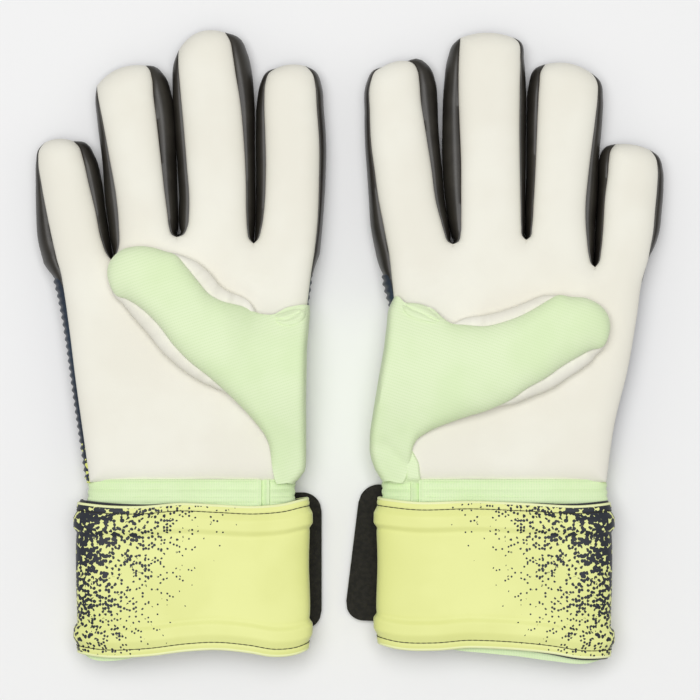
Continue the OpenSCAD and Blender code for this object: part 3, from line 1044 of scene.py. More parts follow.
RIGHT_CUT = GloveCut(
    hand=HandFrame(Side.RIGHT, -67.5, 1),
    fingers=(
        FingerCut("little", bow=1.3,
            low=((-60.8, 99, 6.7), (-63.3, 110, 6.7), (-65.6, 121, 5.1), (-67.7, 132, 3.2),
                (-69.1, 142, 1.6), (-68.9, 146.8, 1), (-66.6, 150.7, 0.1)),
            high=((-35.9, 97.6, 0.2), (-38.8, 101, 1.8), (-41.1, 107, 3), (-44, 120.5, 3.8),
                (-47.1, 133, 5.2), (-49.6, 143.4, 4.8), (-51.4, 148.5, 3.3), (-54.1, 151.2, 0.1)),
            low_tail=((-57.2, 83, 0.2), (-57.9, 88, 2.6), (-58.9, 92.5, 4.7))),
        FingerCut("ring", bow=3.2,
            low=((-35.9, 97.6, 0.2), (-33.6, 104, 3.6), (-33.6, 114.5, 5), (-34.8, 127, 5.4),
                (-37.5, 142, 3.9), (-41.2, 162, 2.6), (-43, 171, 1.5), (-43.7, 175.8, 0.1)),
            high=((-8, 108.6, 0.2), (-10.2, 109.6, 2.2), (-11.4, 113, 3.4), (-12.2, 119, 4.1),
                (-13.4, 128, 5), (-14.9, 141, 6), (-17, 159, 7.5), (-18.5, 171, 7.4), (-19.2, 178.5, 5.6),
                (-20.4, 182.5, 3), (-22.2, 184.6, 0.1))),
        FingerCut("middle", bow=4.2,
            low=((-8, 108.6, 0.2), (-5.2, 109.6, 2.4), (-3.4, 113, 4.2), (-2.7, 119, 4.9), (-2.6, 124, 4.8),
                (-3.8, 141, 4.4), (-5.3, 159, 4.2), (-6.8, 175, 3.6), (-7.6, 186, 2.2), (-7.6, 191.4, 0.1)),
            high=((25.7, 105.8, 0.2), (23.8, 107.6, 1.8), (22.9, 112, 2.9), (22.5, 119, 3.6),
                (22.3, 132, 3.7), (21.4, 150, 4.4), (19.6, 169, 6), (17.6, 181, 6.9), (16.4, 189, 6.2),
                (15.2, 195, 4.4), (12.8, 199.2, 0.1))),
        FingerCut("index", bow=1.1,
            low=((25.7, 105.8, 0.2), (27.6, 107.6, 1.8), (29, 112, 2.8), (30.2, 120, 3.7), (31, 135, 4.4),
                (30.7, 155, 4.2), (30.3, 168, 3.4), (30.8, 176.6, 2.3), (32.1, 180.7, 1.5),
                (35.3, 183.4, 0.1)),
            high=((52.4, 102, 2.2), (53.7, 114.5, 2.1), (54.4, 132, 2.6), (54.5, 150, 2.9),
                (53.4, 166, 2.9), (52.8, 175, 2.7), (51.4, 180.8, 1.9), (48.3, 184.4, 0.1)),
            high_tail=((50.4, 88.5, 0.2), (51.2, 94, 1.2))),
    ),
    palm_low=((-46.2, 0.9), (-49.3, 23.3), (-52.4, 45.3), (-55, 66.4), (-57.6, 85), (-58.9, 92.5),
        (-60.8, 99)),
    palm_high=((41, 0.9), (45.5, 8), (46.5, 30), (47, 60), (49.4, 80), (51, 93), (52.4, 102)),
    low_rim=((0, 2.6), (23, 2.9), (56, 3.1), (72, 3.5), (84, 4.2), (92, 4.6), (97, 3), (99, 1)),
    high_rim=((0, 0.4), (76, 0.6), (88, 0.9), (96, 0.7), (102, 0.5)),
    thumb=ThumbCut(
        bow=3.9,
        low=((40.6, 0.9, 0, 24.8), (38.4, 0.5, 0, 24.8), (36, 0.6, 0, 24.9), (35.3, 2.6, 0, 25.2),
            (34.8, 7, 0, 25.4), (34.4, 12.5, 0, 25.6), (33.4, 18, 0, 26), (31.3, 22.6, 0, 26.8),
            (27.6, 27.6, 0, 28), (18, 38, 0.4, 30.6), (12.8, 43, 2, 31.6), (7.6, 47.6, 4, 32.6),
            (-2.7, 56, 5.4, 33.4), (-7.9, 61.5, 6, 33.6), (-15.6, 71.5, 6.4, 33.6),
            (-24.6, 79.5, 5.2, 33.2), (-29.2, 82.1, 3.6, 32.8), (-33.7, 83.7, 1.6, 32.4),
            (-35.6, 87, 0.8, 32)),
        high=((46, 78.4, 0, 27), (40, 77.2, 0, 27.2), (33.4, 73.8, 0.3, 27.6), (29.6, 73.9, 1.4, 28.6),
            (20.5, 77.3, 4.2, 31), (10.9, 79.9, 5.6, 32.8), (6.3, 82.5, 6.2, 33.2), (1.2, 88.3, 6.4, 33.6),
            (-4, 94.7, 4.8, 33.6), (-8.8, 99.9, 1.4, 33.4), (-13, 101.2, 0.6, 33),
            (-18.2, 102.8, 0.5, 32.6), (-24, 103.4, 0.4, 32.3), (-29.8, 102.5, 0.4, 32)),
        fold=((0.4, 42.4), (1.5, 43.4), (3.7, 45.6), (6.6, 47.6), (11, 47.8), (37, 47.6), (60, 48),
            (74, 49.2), (78, 49.2), (80, 48.6)),
        tuck=((33.4, 73.8, 0.3), (37, 72.9, 2.4), (41.5, 72.9, 3.8), (46, 74.8, 3.2), (48.4, 77.6, 0.5)),
        corner=((0.6, 36.2), (6, 35.4), (13, 35), (18, 34.2), (30, 31))),
    wrist=WristCut(
        half=51.2, middle=-0.9, band=(45, -1.7), facing=(1.5, 0.0), seam_x=29.8, tab=(55.4, -34.6, 0.0),
        top=((-53, -8), (-37, -9.4), (-23, -9.5), (-6, -8.2), (9, -8.8), (28, -9.5), (39, -8.6), (50, -6.3),
            (54, -6)),
        bottom=((-53, -73.2), (-40.5, -74.8), (-21.5, -74.3), (-2.6, -72.1), (9, -71.5), (24, -72.8),
            (35.4, -74.6), (45, -73.8), (54, -70.4)),
        band_end=((-50, -72), (-44, -76), (-34, -77), (-24, -75), (-14, -70), (50, -69))))

LEFT_CUT = GloveCut(
    hand=HandFrame(Side.LEFT, 65.0, -1),
    fingers=(
        FingerCut("little", bow=1.0,
            low=((-66.4, 98.5, 0.2), (-67.3, 103.6, 2), (-68.5, 110, 3.2), (-69.6, 121, 3.6),
                (-70.6, 131, 3.4), (-70.9, 138, 2.9), (-70.2, 143.4, 2), (-67.8, 147.4, 0.1)),
            low_tail=((-63.6, 88.5, 0.2), (-65, 94, 0.2)),
            high=((-43.1, 95.4, 0.2), (-44.6, 97.2, 1.3), (-45.7, 102.5, 1.9), (-46.5, 110, 2.4),
                (-47.7, 127, 2.6), (-48.9, 136, 3.4), (-49.4, 142, 3.8), (-50.5, 147.2, 2.6),
                (-52.8, 149.9, 0.1))),
        FingerCut("ring", bow=2.3,
            low=((-43.1, 95.4, 0.2), (-41.6, 96.6, 1.6), (-40.4, 100.5, 3), (-39.6, 107, 4),
                (-39, 115, 4.8), (-39, 123, 5.5), (-39.8, 132, 5.2), (-41.1, 143, 4.3), (-43.4, 161, 3.6),
                (-44.4, 170, 2.9), (-44.3, 177, 1.9), (-42.2, 181.2, 0.1)),
            high=((-12.8, 107.4, 0.2), (-14.6, 108.6, 1.7), (-15.4, 113, 2.3), (-16.1, 123, 3),
                (-16.9, 137, 3.3), (-17.5, 150, 3.8), (-18.1, 164, 4.2), (-18.8, 175.5, 4.2),
                (-19.7, 182, 2.8), (-21.8, 185.2, 0.1))),
        FingerCut("middle", bow=2.2,
            low=((-12.8, 107.4, 0.2), (-11.2, 109, 1.6), (-10.7, 113.5, 2.1), (-10.5, 121, 2.3),
                (-10.2, 137, 2.8), (-10, 155, 3.2), (-10.2, 174, 3.1), (-10.4, 187, 2), (-9.7, 194.6, 1.3),
                (-7.6, 196.9, 0.1)),
            high=((19.3, 105.5, 0.2), (16.9, 106.6, 2.4), (15.9, 110.5, 4), (15.7, 117, 5.3),
                (15.7, 128, 6.8), (15.7, 141, 7.7), (16.4, 160, 7.1), (16.8, 177, 5.9), (16.5, 188, 4.6),
                (16, 194.4, 2.4), (15.7, 196.8, 0.1))),
        FingerCut("index", bow=1.0,
            low=((19.3, 105.5, 0.2), (21.6, 106.7, 2), (23.1, 110.5, 2.8), (24.5, 115.5, 3.4),
                (26.5, 123, 4), (28.9, 140, 4.8), (31.5, 156.6, 6), (33.4, 169, 7.4), (34, 177, 7.1),
                (34.8, 182, 5.8), (36.4, 185, 3.6), (39.1, 186.6, 0.1)),
            high=((47.3, 101, 5.4), (49.9, 114.5, 5.4), (52.1, 126, 4), (53.7, 138, 3.2),
                (55.1, 148.5, 2.6), (55.8, 163, 2.2), (55.4, 176.8, 1.8), (53.5, 181.6, 1.2),
                (50.2, 183.9, 0.1)),
            high_tail=((45.3, 82.5, 0.2), (45.6, 86, 1.3), (46, 89.5, 2.4), (46.4, 93, 4.2))),
    ),
    palm_low=((-48, 0.9), (-51.9, 27.7), (-57.2, 49.3), (-61.6, 74.8), (-63.8, 89.8), (-66.4, 98.5)),
    palm_high=((46, 0.9), (47.5, 30), (46.5, 60), (45.2, 80), (46.3, 92), (47.3, 101)),
    low_rim=((0, 0.3), (60, 0.3), (98, 0.2)),
    high_rim=((0, 0.4), (70, 0.8), (77, 2.2), (85, 4), (92, 4.4), (97, 2.6), (101, 1)),
    thumb=ThumbCut(
        bow=3.2, corner_rise=1.1,
        low=((46, 1.8, 0, 24.8), (43, 1, 0, 24.8), (40.4, 1, 0, 24.9), (39.3, 2.8, 0, 25.2),
            (38.7, 8, 0, 25.5), (38.1, 13, 0, 25.7), (37.6, 16.9, 0, 26), (35.9, 20.3, 0, 26.4),
            (31.7, 23.4, 0, 27), (19.4, 28.8, 0, 29.4), (12.9, 31, 0, 30.6), (5.6, 33.2, 0.3, 31.6),
            (0.4, 35.4, 1.2, 32.4), (-5.4, 38.3, 3, 33), (-12.7, 43.4, 4.8, 33.6), (-20, 47.4, 5.6, 33.6),
            (-27.3, 52.6, 6, 33.4), (-34.6, 56.9, 5.6, 33), (-40.4, 59.9, 4.4, 32.6),
            (-45.5, 61.3, 1.2, 32.2), (-47, 64.2, 0.6, 32)),
        high=((42.4, 82, 0, 26.4), (40, 79.4, 0, 27), (36, 78.6, 0, 27.2), (28.9, 76.6, 0, 27.4),
            (25.3, 73, 0, 27.8), (21.6, 70.3, 0.4, 28.4), (13.6, 69, 3.8, 30.8), (4.8, 68.6, 5.2, 32.8),
            (-1.7, 70.1, 5.2, 33.4), (-9, 72.6, 5, 33.6), (-16.3, 76.3, 4.4, 33.6),
            (-22.2, 79.9, 3.2, 33.4), (-26.6, 82.1, 0.8, 33), (-30.9, 81.4, 0.5, 32.8),
            (-38.2, 80.7, 0.4, 32.3), (-41.9, 79.2, 0.4, 32)),
        fold=((0.4, 48.6), (2, 49.8), (7, 52.8), (11, 54.2), (15, 55), (22.6, 54.8), (33.6, 53),
            (46.7, 50.8), (59, 48.6), (70, 47.3), (76, 46.8), (79, 45.6), (82, 44.2), (84, 43.6)),
        tuck=((21.8, 70.4, 0.3), (27.5, 72.6, 2.2), (33, 74.9, 3.7), (38, 76.6, 3.2), (42.8, 79.4, 0.5)),
        corner=((0.6, 33.6), (6, 34), (9.5, 34.4), (13.5, 36.4), (17, 38.4), (30, 40)),
        crease=((51, 19), (38, 7))),
    wrist=WristCut(
        half=51.6, middle=1.2, band=(49, 0.9), facing=(1.3, 1.2), seam_x=35, tab=(63.8, -32.6, 7.0),
        top=((-53, -8), (-37, -9.3), (-12, -8.2), (12, -7.3), (36.5, -7.7), (53, -6)),
        bottom=((-53, -75.2), (-37, -75.2), (-24.5, -73.2), (-12, -71.8), (4, -70.8), (12, -70.6),
            (28, -71.8), (45, -71.2), (53, -69.4)),
        band_end=((-50, -75), (-41, -78), (-24, -77), (-10, -75), (6, -73.4), (18, -72), (28, -69),
            (50, -68))))


# Sub-assemblies


@dataclass
class Cloakroom:
    """Materials by finish, made when first asked for."""

    groups: Groups
    materials: Dict[str, bpy.types.Material] = field(default_factory=dict)

    def dress(self, piece: Piece, *finishes: Finish) -> None:
        """Give a piece its finishes, in slot order.

        Args:
            piece: The piece.
            *finishes: Its finishes.
        """
        piece.data.materials.clear()
        for finish in finishes:
            if finish.name not in self.materials:
                self.materials[finish.name] = finish.dress(self.groups)
            piece.data.materials.append(self.materials[finish.name])


@dataclass
class SubAssembly:
    """What every part of a glove is made with.

    Attributes:
        cut: The glove's edges.
        room: Materials.
    """

    cut: GloveCut
    room: Cloakroom

    @property
    def hand(self) -> HandFrame:
        """The glove's hand frame."""
        return self.cut.hand

    def close(self, piece: Piece, thickness: float, *finishes: Finish, angle: float = CRISP_ANGLE) -> Piece:
        """Dress a sheet and give it its thickness inwards, with its cut edges kept crisp.

        Args:
            piece: The sheet.
            thickness: In millimetres.
            *finishes: Finish of the outside, then of the inside.
            angle: Edges sharper than this many degrees stay sharp.

        Returns:
            The piece.
        """
        self.room.dress(piece, *finishes)
        wall = piece.modifiers.new("wall", "SOLIDIFY")
        wall.thickness = thickness * MM
        wall.offset = -1.0
        wall.use_rim = True
        wall.material_offset = len(finishes) - 1
        activate(piece)
        bpy.ops.object.modifier_apply(modifier=wall.name)
        bpy.ops.object.shade_smooth_by_angle(angle=math.radians(angle))
        return piece

    def panel(self, name: str, points: Array, thickness: float, *finishes: Finish,
              uv: Optional[Array] = None, angle: float = CRISP_ANGLE) -> Piece:
        """Draw a sheet, named without its hand, dress it and thicken it, as in grid_piece and close."""
        piece = grid_piece(self.hand.node(name), points, self.hand, uv)
        return self.close(piece, thickness, *finishes, angle=angle)

    def enter(self, piece: Piece, slot: Slot, *nodes: str, body: str = "", fill: float = 0.0) -> Piece:
        """Hide the hand's CAD nodes that a finished piece replaces, hang it on its body, and log it.

        Args:
            piece: The piece.
            slot: Its material slot; not used.
            *nodes: The hand's CAD nodes that it replaces.
            body: The hand's body that it hangs on, if any.
            fill: How tight its padding is; not used.

        Returns:
            The piece.
        """
        if nodes:
            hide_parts(*[self.hand.node(name) for name in nodes])
        if body:
            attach(piece, self.hand.node(body))
        LOG.info("%s: %d faces", piece.name, len(piece.data.polygons))
        return piece

    def cloth(self, piece: Piece, area: float, length: float, rests_on: str) -> None:
        """Look up the name of the hand's piece that a cloth piece is sewn to; nothing more is done.

        Args:
            piece: The piece; not used.
            area: Area of its outer face, in square millimetres; not used.
            length: Length of the rectangle that it is cut from, in millimetres; not used.
            rests_on: Name of the hand's piece that it is sewn to.
        """
        self.hand.node(rests_on)

    def bend(self, piece: Piece, finger: str, front: Array) -> None:
        """Work out a line past a finger's root, and bake the piece's transform into its mesh; nothing is made
        to bend.

        Args:
            piece: The piece.
            finger: Name of the finger.
            front: The finger's front ribs, whose first rib is the root.
        """
        a, b = front[0, 0], front[0, -1]
        onward = np.array([-(b - a)[1], (b - a)[0], 0.0])
        start = (a + b) / 2.0
        end = start + BEND_LENGTH * onward / np.linalg.norm(onward)
        self.hand.node("hand")
        self.hand.node(finger)
        self.hand.spot(*start)
        self.hand.spot(*end)
        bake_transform(piece)


@dataclass
class Front(SubAssembly):
    """The latex front: the palm and four finger fronts, cut as one panel with notches between fingers.

    Attributes:
        finger_cols: Columns across one finger.
        finger_rows: Rows along one finger.
        palm_rows: Rows along the palm.
        thickness: Latex, foam and lining together.
        cut_edge: How much of the cut edge's colour shows at the seams.
        seam_rows: First row of a finger where it shows, and the row where it stops.
    """

    finger_cols: int = 25
    finger_rows: int = 72
    palm_rows: int = 84
    thickness: float = 1.9
    cut_edge: float = 0.75
    seam_rows: Tuple[int, int] = (8, -4)

    def __post_init__(self) -> None:
        """Lay out the panel in plan and give it its height."""
        self.fingers = [self.finger_plan(finger) for finger in self.cut.fingers]
        self.palm = self.palm_plan()
        outline = self.outline()
        for points in self.fingers:
            self.raise_finger(points, outline)
        self.raise_palm(outline)

    def finger_plan(self, finger: FingerCut) -> Array:
        """Ribs of a finger in plan: rows from the root, columns from the low edge to the high edge.

        Args:
            finger: The cut.

        Returns:
            The ribs, at no height yet.
        """
        low, high = (smooth_path(edge, self.finger_rows) for edge in (finger.low, finger.high))
        plan = ribs_between(low, high, self.finger_cols, finger.bow, 0.5)
        return np.dstack((plan, np.zeros(plan.shape[:2])))

    def palm_plan(self) -> Array:
        """The palm in plan, between its two edges, the wrist seam and the roots of the fingers.

        Returns:
            Rows from the wrist by columns from the little-finger side, at no height yet.
        """
        top = np.concatenate([f[0, :-1, :2] for f in self.fingers[:3]] + [self.fingers[3][0, :, :2]])
        v = shares(self.palm_rows) ** 1.2
        low = path_at(self.cut.palm_low, v)
        high = path_at(self.cut.palm_high, v)
        u = (top[:, 0] - top[0, 0]) / (top[-1, 0] - top[0, 0])
        bottom = low[0] + (high[0] - low[0]) * u[:, None]
        u = u[None, :, None]
        v = v[:, None, None]
        flat = (1 - v) * bottom[None] + v * top[None]
        flat = flat + (1 - u) * (low[:, None] - (1 - v) * low[0] - v * low[-1])
        flat = flat + u * (high[:, None] - (1 - v) * high[0] - v * high[-1])
        return np.dstack((flat, np.zeros(flat.shape[:2])))

    def outline(self) -> Array:
        """Closed outline of the whole panel in plan.

        Returns:
            Corners (x, y), once round.
        """
        parts = [self.palm[:-1, 0]]
        for f in self.fingers:
            parts += [f[:-1, 0], f[-1, :-1], f[::-1, -1][:-1]]
        parts += [self.palm[::-1, -1], self.palm[0, ::-1]]
        return np.concatenate(parts)[:, :2]

    def raise_finger(self, points: Array, outline: Array) -> None:
        """Give a finger's ribs their height.

        Args:
            points: The ribs, which are changed.
            outline: The panel's outline.
        """
        s = shares(len(points))[:, None]
        length = middle_run(points[..., :2])
        x, y = points[..., 0], points[..., 1]
        z = PALM_Z + (FINGER_TIP_Z - PALM_Z) * ease(s) - rounded((1.0 - s) * length, TIP_ROUND, TIP_DROP)
        crown = 0.9 * hump(spread_columns(self.finger_cols)) + 0.22 * ripple(x, y, 37.0, 2.0)
        z = z + crown * ease(s / 0.3)
        points[..., 2] = z - rounded(edge_distance(points, outline), LATEX_EDGE_ROUND, LATEX_EDGE_DROP)

    def raise_palm(self, outline: Array) -> None:
        """Give the palm its height: a shallow hollow, with its edges rolled down to the seams.

        Args:
            outline: The panel's outline.
        """
        x, y = self.palm[..., 0], self.palm[..., 1]
        hollow = bell(x + 4.0, 34.0) * bell(y - 52.0, 30.0)
        waves = 0.18 * ripple(x, y, 46.0, 1.0) * ease((98.0 - y) / 30.0)
        creases = 0.3 * ripple(x, 1.5 * y, 11.0, 6.0) * bell(x - 24.0, 17.0) * bell(y - 88.0, 8.0)
        roll = rounded(edge_distance(self.palm, outline), LATEX_EDGE_ROUND, LATEX_EDGE_DROP)
        self.palm[..., 2] = PALM_Z - hollow + waves + creases - roll

    def build(self) -> List[Piece]:
        """Make the palm and the finger fronts.

        Returns:
            The palm, then the four fronts.
        """
        palm = self.panel("palm", self.palm, self.thickness, LATEX, LINING, uv=self.palm[..., :2])
        pieces = [self.enter(palm, Slot.LATEX, "palm_latex", "palm_lining", body="hand", fill=LATEX_FILL)]
        for finger, points in zip(self.cut.fingers, self.fingers):
            piece = grid_piece(self.hand.node(f"{finger.name}_front"), points, self.hand, points[..., :2])
            marks = np.zeros(points.shape[:2])
            marks[slice(*self.seam_rows), (0, -1)] = self.cut_edge
            mark_seam(piece, marks)
            self.close(piece, self.thickness, LATEX, LINING)
            self.bend(piece, finger.name, points)
            pieces.append(self.enter(piece, Slot.LATEX, f"{finger.name}_latex", fill=LATEX_FILL))
        return pieces


@dataclass
class Fingers(SubAssembly):
    """Side gussets and ribbed backs of the four fingers.

    Attributes:
        front: The latex front that they are sewn to.
        gusset_cols: Columns down a gusset.
        gusset_t: Thickness of a gusset.
        back_t: Thickness of a finger's back.
        ridge: Height of the back's ridges.
        tuck_under: Share of the gusset's width that its lower seam stands out.
        seam_drop: Depth of the crease along the front's seam.
        lip: How far the gusset's upper edge is turned in under the front.
        tail_rows: Rows of a tail, where the gusset runs on beside the hand.
        tail_stand: How far the lower seam stands out at the tail's end.
        tail_foot: Height of the lower seam at the tail's end.
        cloth_length: Length of the rectangle that gussets are cut from, in lengths of the finger.
    """

    front: Front
    gusset_cols: int = 15
    gusset_t: float = 0.9
    back_t: float = 1.6
    ridge: float = 0.6
    tuck_under: float = 0.5
    seam_drop: float = 1.1
    lip: float = 0.7
    tail_rows: int = 12
    tail_stand: float = -4.0
    tail_foot: float = 2.2
    cloth_length: float = 1.25

    def lower_z(self, s: Array, length: float) -> Array:
        """Height of a gusset's lower seam along the finger."""
        tip = rounded((1.0 - s) * length, TIP_ROUND, BACK_TIP_RISE - BACK_EDGE_RISE)
        return BACK_EDGE_RISE * ease(s / 0.15) + tip

    def gusset_points(self, points: Array, finger: FingerCut, low_side: bool) -> Array:
        """Grid of one gusset, from the front's seam round to the back.

        Args:
            points: The finger's front ribs.
            finger: Its cut.
            low_side: Whether it is the gusset on the little-finger side.

        Returns:
            Rows along the finger by columns down the gusset.
        """
        edge = finger.low if low_side else finger.high
        tail = finger.low_tail if low_side else finger.high_tail
        seam = points[:, 0 if low_side else -1]
        width = smooth_path(edge, len(points))[:, 2]
        s = shares(len(points))
        foot = self.lower_z(s, np.linalg.norm((seam[-1] - seam[0])[:2]))
        stand = self.tuck_under * width
        drop = self.seam_drop * (1.0 - 0.9 * ease((s - 0.65) / 0.2))
        if tail:
            extra = smooth_path(tuple(tail) + (edge[0],), self.tail_rows)[:-1]
            rest = 1.0 - ease(np.linspace(-0.6, 1.0, self.tail_rows)[:-1])
            level = np.full(len(extra), seam[0, 2])
            seam = np.concatenate([np.column_stack((extra[:, :2], level)), seam])
            width = np.concatenate([extra[:, 2], width])
            foot = np.concatenate([foot[0] + (self.tail_foot - foot[0]) * rest, foot])
            stand = np.concatenate([stand[0] + (self.tail_stand - stand[0]) * rest, stand])
            drop = np.concatenate([np.zeros(len(extra)), drop * ease(s / 0.15)])
        out = plan_normal(seam, -1.0 if low_side else 1.0)
        width = np.maximum(width, 0.05)
        drop = np.maximum(drop, LEAST_CREASE)
        z = seam[:, 2]
        crease = z - drop * (1.0 - np.exp(-0.4 * width / drop))
        steps = ((0.0, crease), (1.1 * width, z + 0.4 * width), (1.4 * width, foot), (stand, foot))
        curve = sections(seam, out, steps, self.gusset_cols)
        lip = beside(seam, out, -self.lip, z - self.lip)
        curve = np.concatenate([lip[:, None], curve], axis=1)
        return curve[:, ::-1] if low_side else curve

    def back_points(self, points: Array, low: Array, high: Array) -> Array:
        """Grid of a finger's back, between the lower seams of its gussets.

        Args:
            points: The finger's front ribs.
            low: Lower seam on the little-finger side, one point a rib.
            high: Lower seam on the thumb side.

        Returns:
            Rows along the finger by columns from the thumb side to the little-finger side.
        """
        share = spread_columns(self.front.finger_cols)
        first, last = points[:, :1, :2], points[:, -1:, :2]
        swell = points[..., :2] - (first + (last - first) * share[:, None])
        across = (high - low)[:, :2]
        plan = low[:, None, :2] + across[:, None] * share[:, None] + swell
        s = shares(len(points))[:, None]
        length = middle_run(points[..., :2])
        side = np.minimum(share, 1.0 - share) * np.linalg.norm(across, axis=1)[:, None]
        seam = rounded(side, 7.0, 1.0)
        z = seam * self.lower_z(s, length) + (1.0 - seam) * rounded((1.0 - s) * length, 16.0, BACK_TIP_RISE)
        inside = ease((side - 1.2) / 2.5) * ease((1.0 - s) * length / 10.0) * ease(s * length / 4.0)
        return np.dstack((plan, z + self.ridge * ridges(plan[..., 1]) * inside))[:, ::-1]

    def build(self) -> List[Piece]:
        """Make the gussets and backs.

        Returns:
            The pieces, finger by finger.
        """
        pieces = []
        for finger, points in zip(self.cut.fingers, self.front.fingers):
            grids = [self.gusset_points(points, finger, low_side) for low_side in (True, False)]
            strips = [grid_piece("gusset_strip", grid, self.hand) for grid in grids]
            gussets = join(strips, self.hand.node(f"{finger.name}_gusset_pair"))
            self.close(gussets, self.gusset_t, GUSSET)
            length = self.cloth_length * middle_run(points)
            self.cloth(gussets, sum(map(sheet_area, grids)), length, f"{finger.name}_front")
            self.bend(gussets, finger.name, points)
            pieces.append(self.enter(gussets, Slot.GUSSET, f"{finger.name}_gussets"))
            low, high = grids[0][-len(points):, 0], grids[1][-len(points):, -1]
            back = self.panel(f"{finger.name}_ribbed_back", self.back_points(points, low, high), self.back_t,
                              FINGER_NAVY, DARK_LINING)
            self.bend(back, finger.name, points)
            pieces.append(self.enter(back, Slot.BACKHAND, f"{finger.name}_back", fill=BACK_FILL))
        return pieces


@dataclass
class Backhand(SubAssembly):
    """The ribbed foam back, with its rolled edges.

    Attributes:
        front: The latex front that it is sewn to.
        rows: Rows along the hand.
        wall_cols: Columns up each edge.
        flat_cols: Columns across the back.
        thickness: Foam and lining together.
        ridge: Height of the ridges.
        corner: Radius where the edges turn into the flat.
        open_z: Height of the thumb-side edge where the knit is sewn on.
    """

    front: Front
    rows: int = 216
    wall_cols: int = 15
    flat_cols: int = 30
    thickness: float = 2.4
    ridge: float = 0.9
    corner: float = 6.0
    open_z: float = 8.0

    def points(self) -> Array:
        """Grid from the thumb-side edge, across the back, to the little-finger edge.

        Returns:
            Rows along the hand by columns round it.
        """
        cut = self.cut
        v = shares(self.rows)
        low, high = (path_at(edge, v)[:, :2] for edge in (cut.palm_low, cut.palm_high))
        seam_z = PALM_Z - LATEX_EDGE_DROP - 0.2
        open_z = self.open_z + (seam_z - self.open_z) * ease((high[:, 1] - 72.0) / 8.0)
        floor = np.zeros(self.rows)
        walls = []
        sides = ((low, -1.0, cut.low_rim, floor + seam_z), (high, 1.0, cut.high_rim, open_z))
        for path, turn, rims, top in sides:
            rim = profile(rims, path[:, 1])
            bump = 1.3 * self.ridge * np.minimum(rim / 1.2, 1.0) * (ridges(low[:, 1]) - 0.5)
            out = plan_normal(path, turn)
            steps = ((-0.1, top), (1.3 * rim + bump, top + 0.2), (1.4 * rim + bump, floor),
                     (-self.corner, floor))
            walls.append(sections(path, out, steps, self.wall_cols))
        left, right = walls
        roots = self.front.palm[-1, :, :2]
        u = shares(self.flat_cols + 2)[1:-1]
        share = (roots[:, 0] - roots[0, 0]) / (roots[-1, 0] - roots[0, 0])
        lift = np.interp(u, share, roots[:, 1]) - (roots[0, 1] + (roots[-1, 1] - roots[0, 1]) * u)
        flat = left[:, -1:] + (right[:, -1:] - left[:, -1:]) * u[None, :, None]
        flat[..., 1] += v[:, None] * lift[None]
        grid = np.concatenate([right, flat[:, ::-1], left[:, ::-1]], axis=1)
        grid[..., 2] += self.ridge * ridges(grid[..., 1]) * ease(1.0 - grid[..., 2] / 5.0)
        return grid

    def build(self) -> List[Piece]:
        """Make the backhand.

        Returns:
            The one piece.
        """
        grid = self.points()
        piece = self.panel("ribbed_backhand", grid, self.thickness, NAVY, DARK_LINING, uv=grid[..., :2],
                           angle=RIDGED_ANGLE)
        return [self.enter(piece, Slot.BACKHAND, "backhand", "back_lining", body="hand", fill=BACK_FILL)]


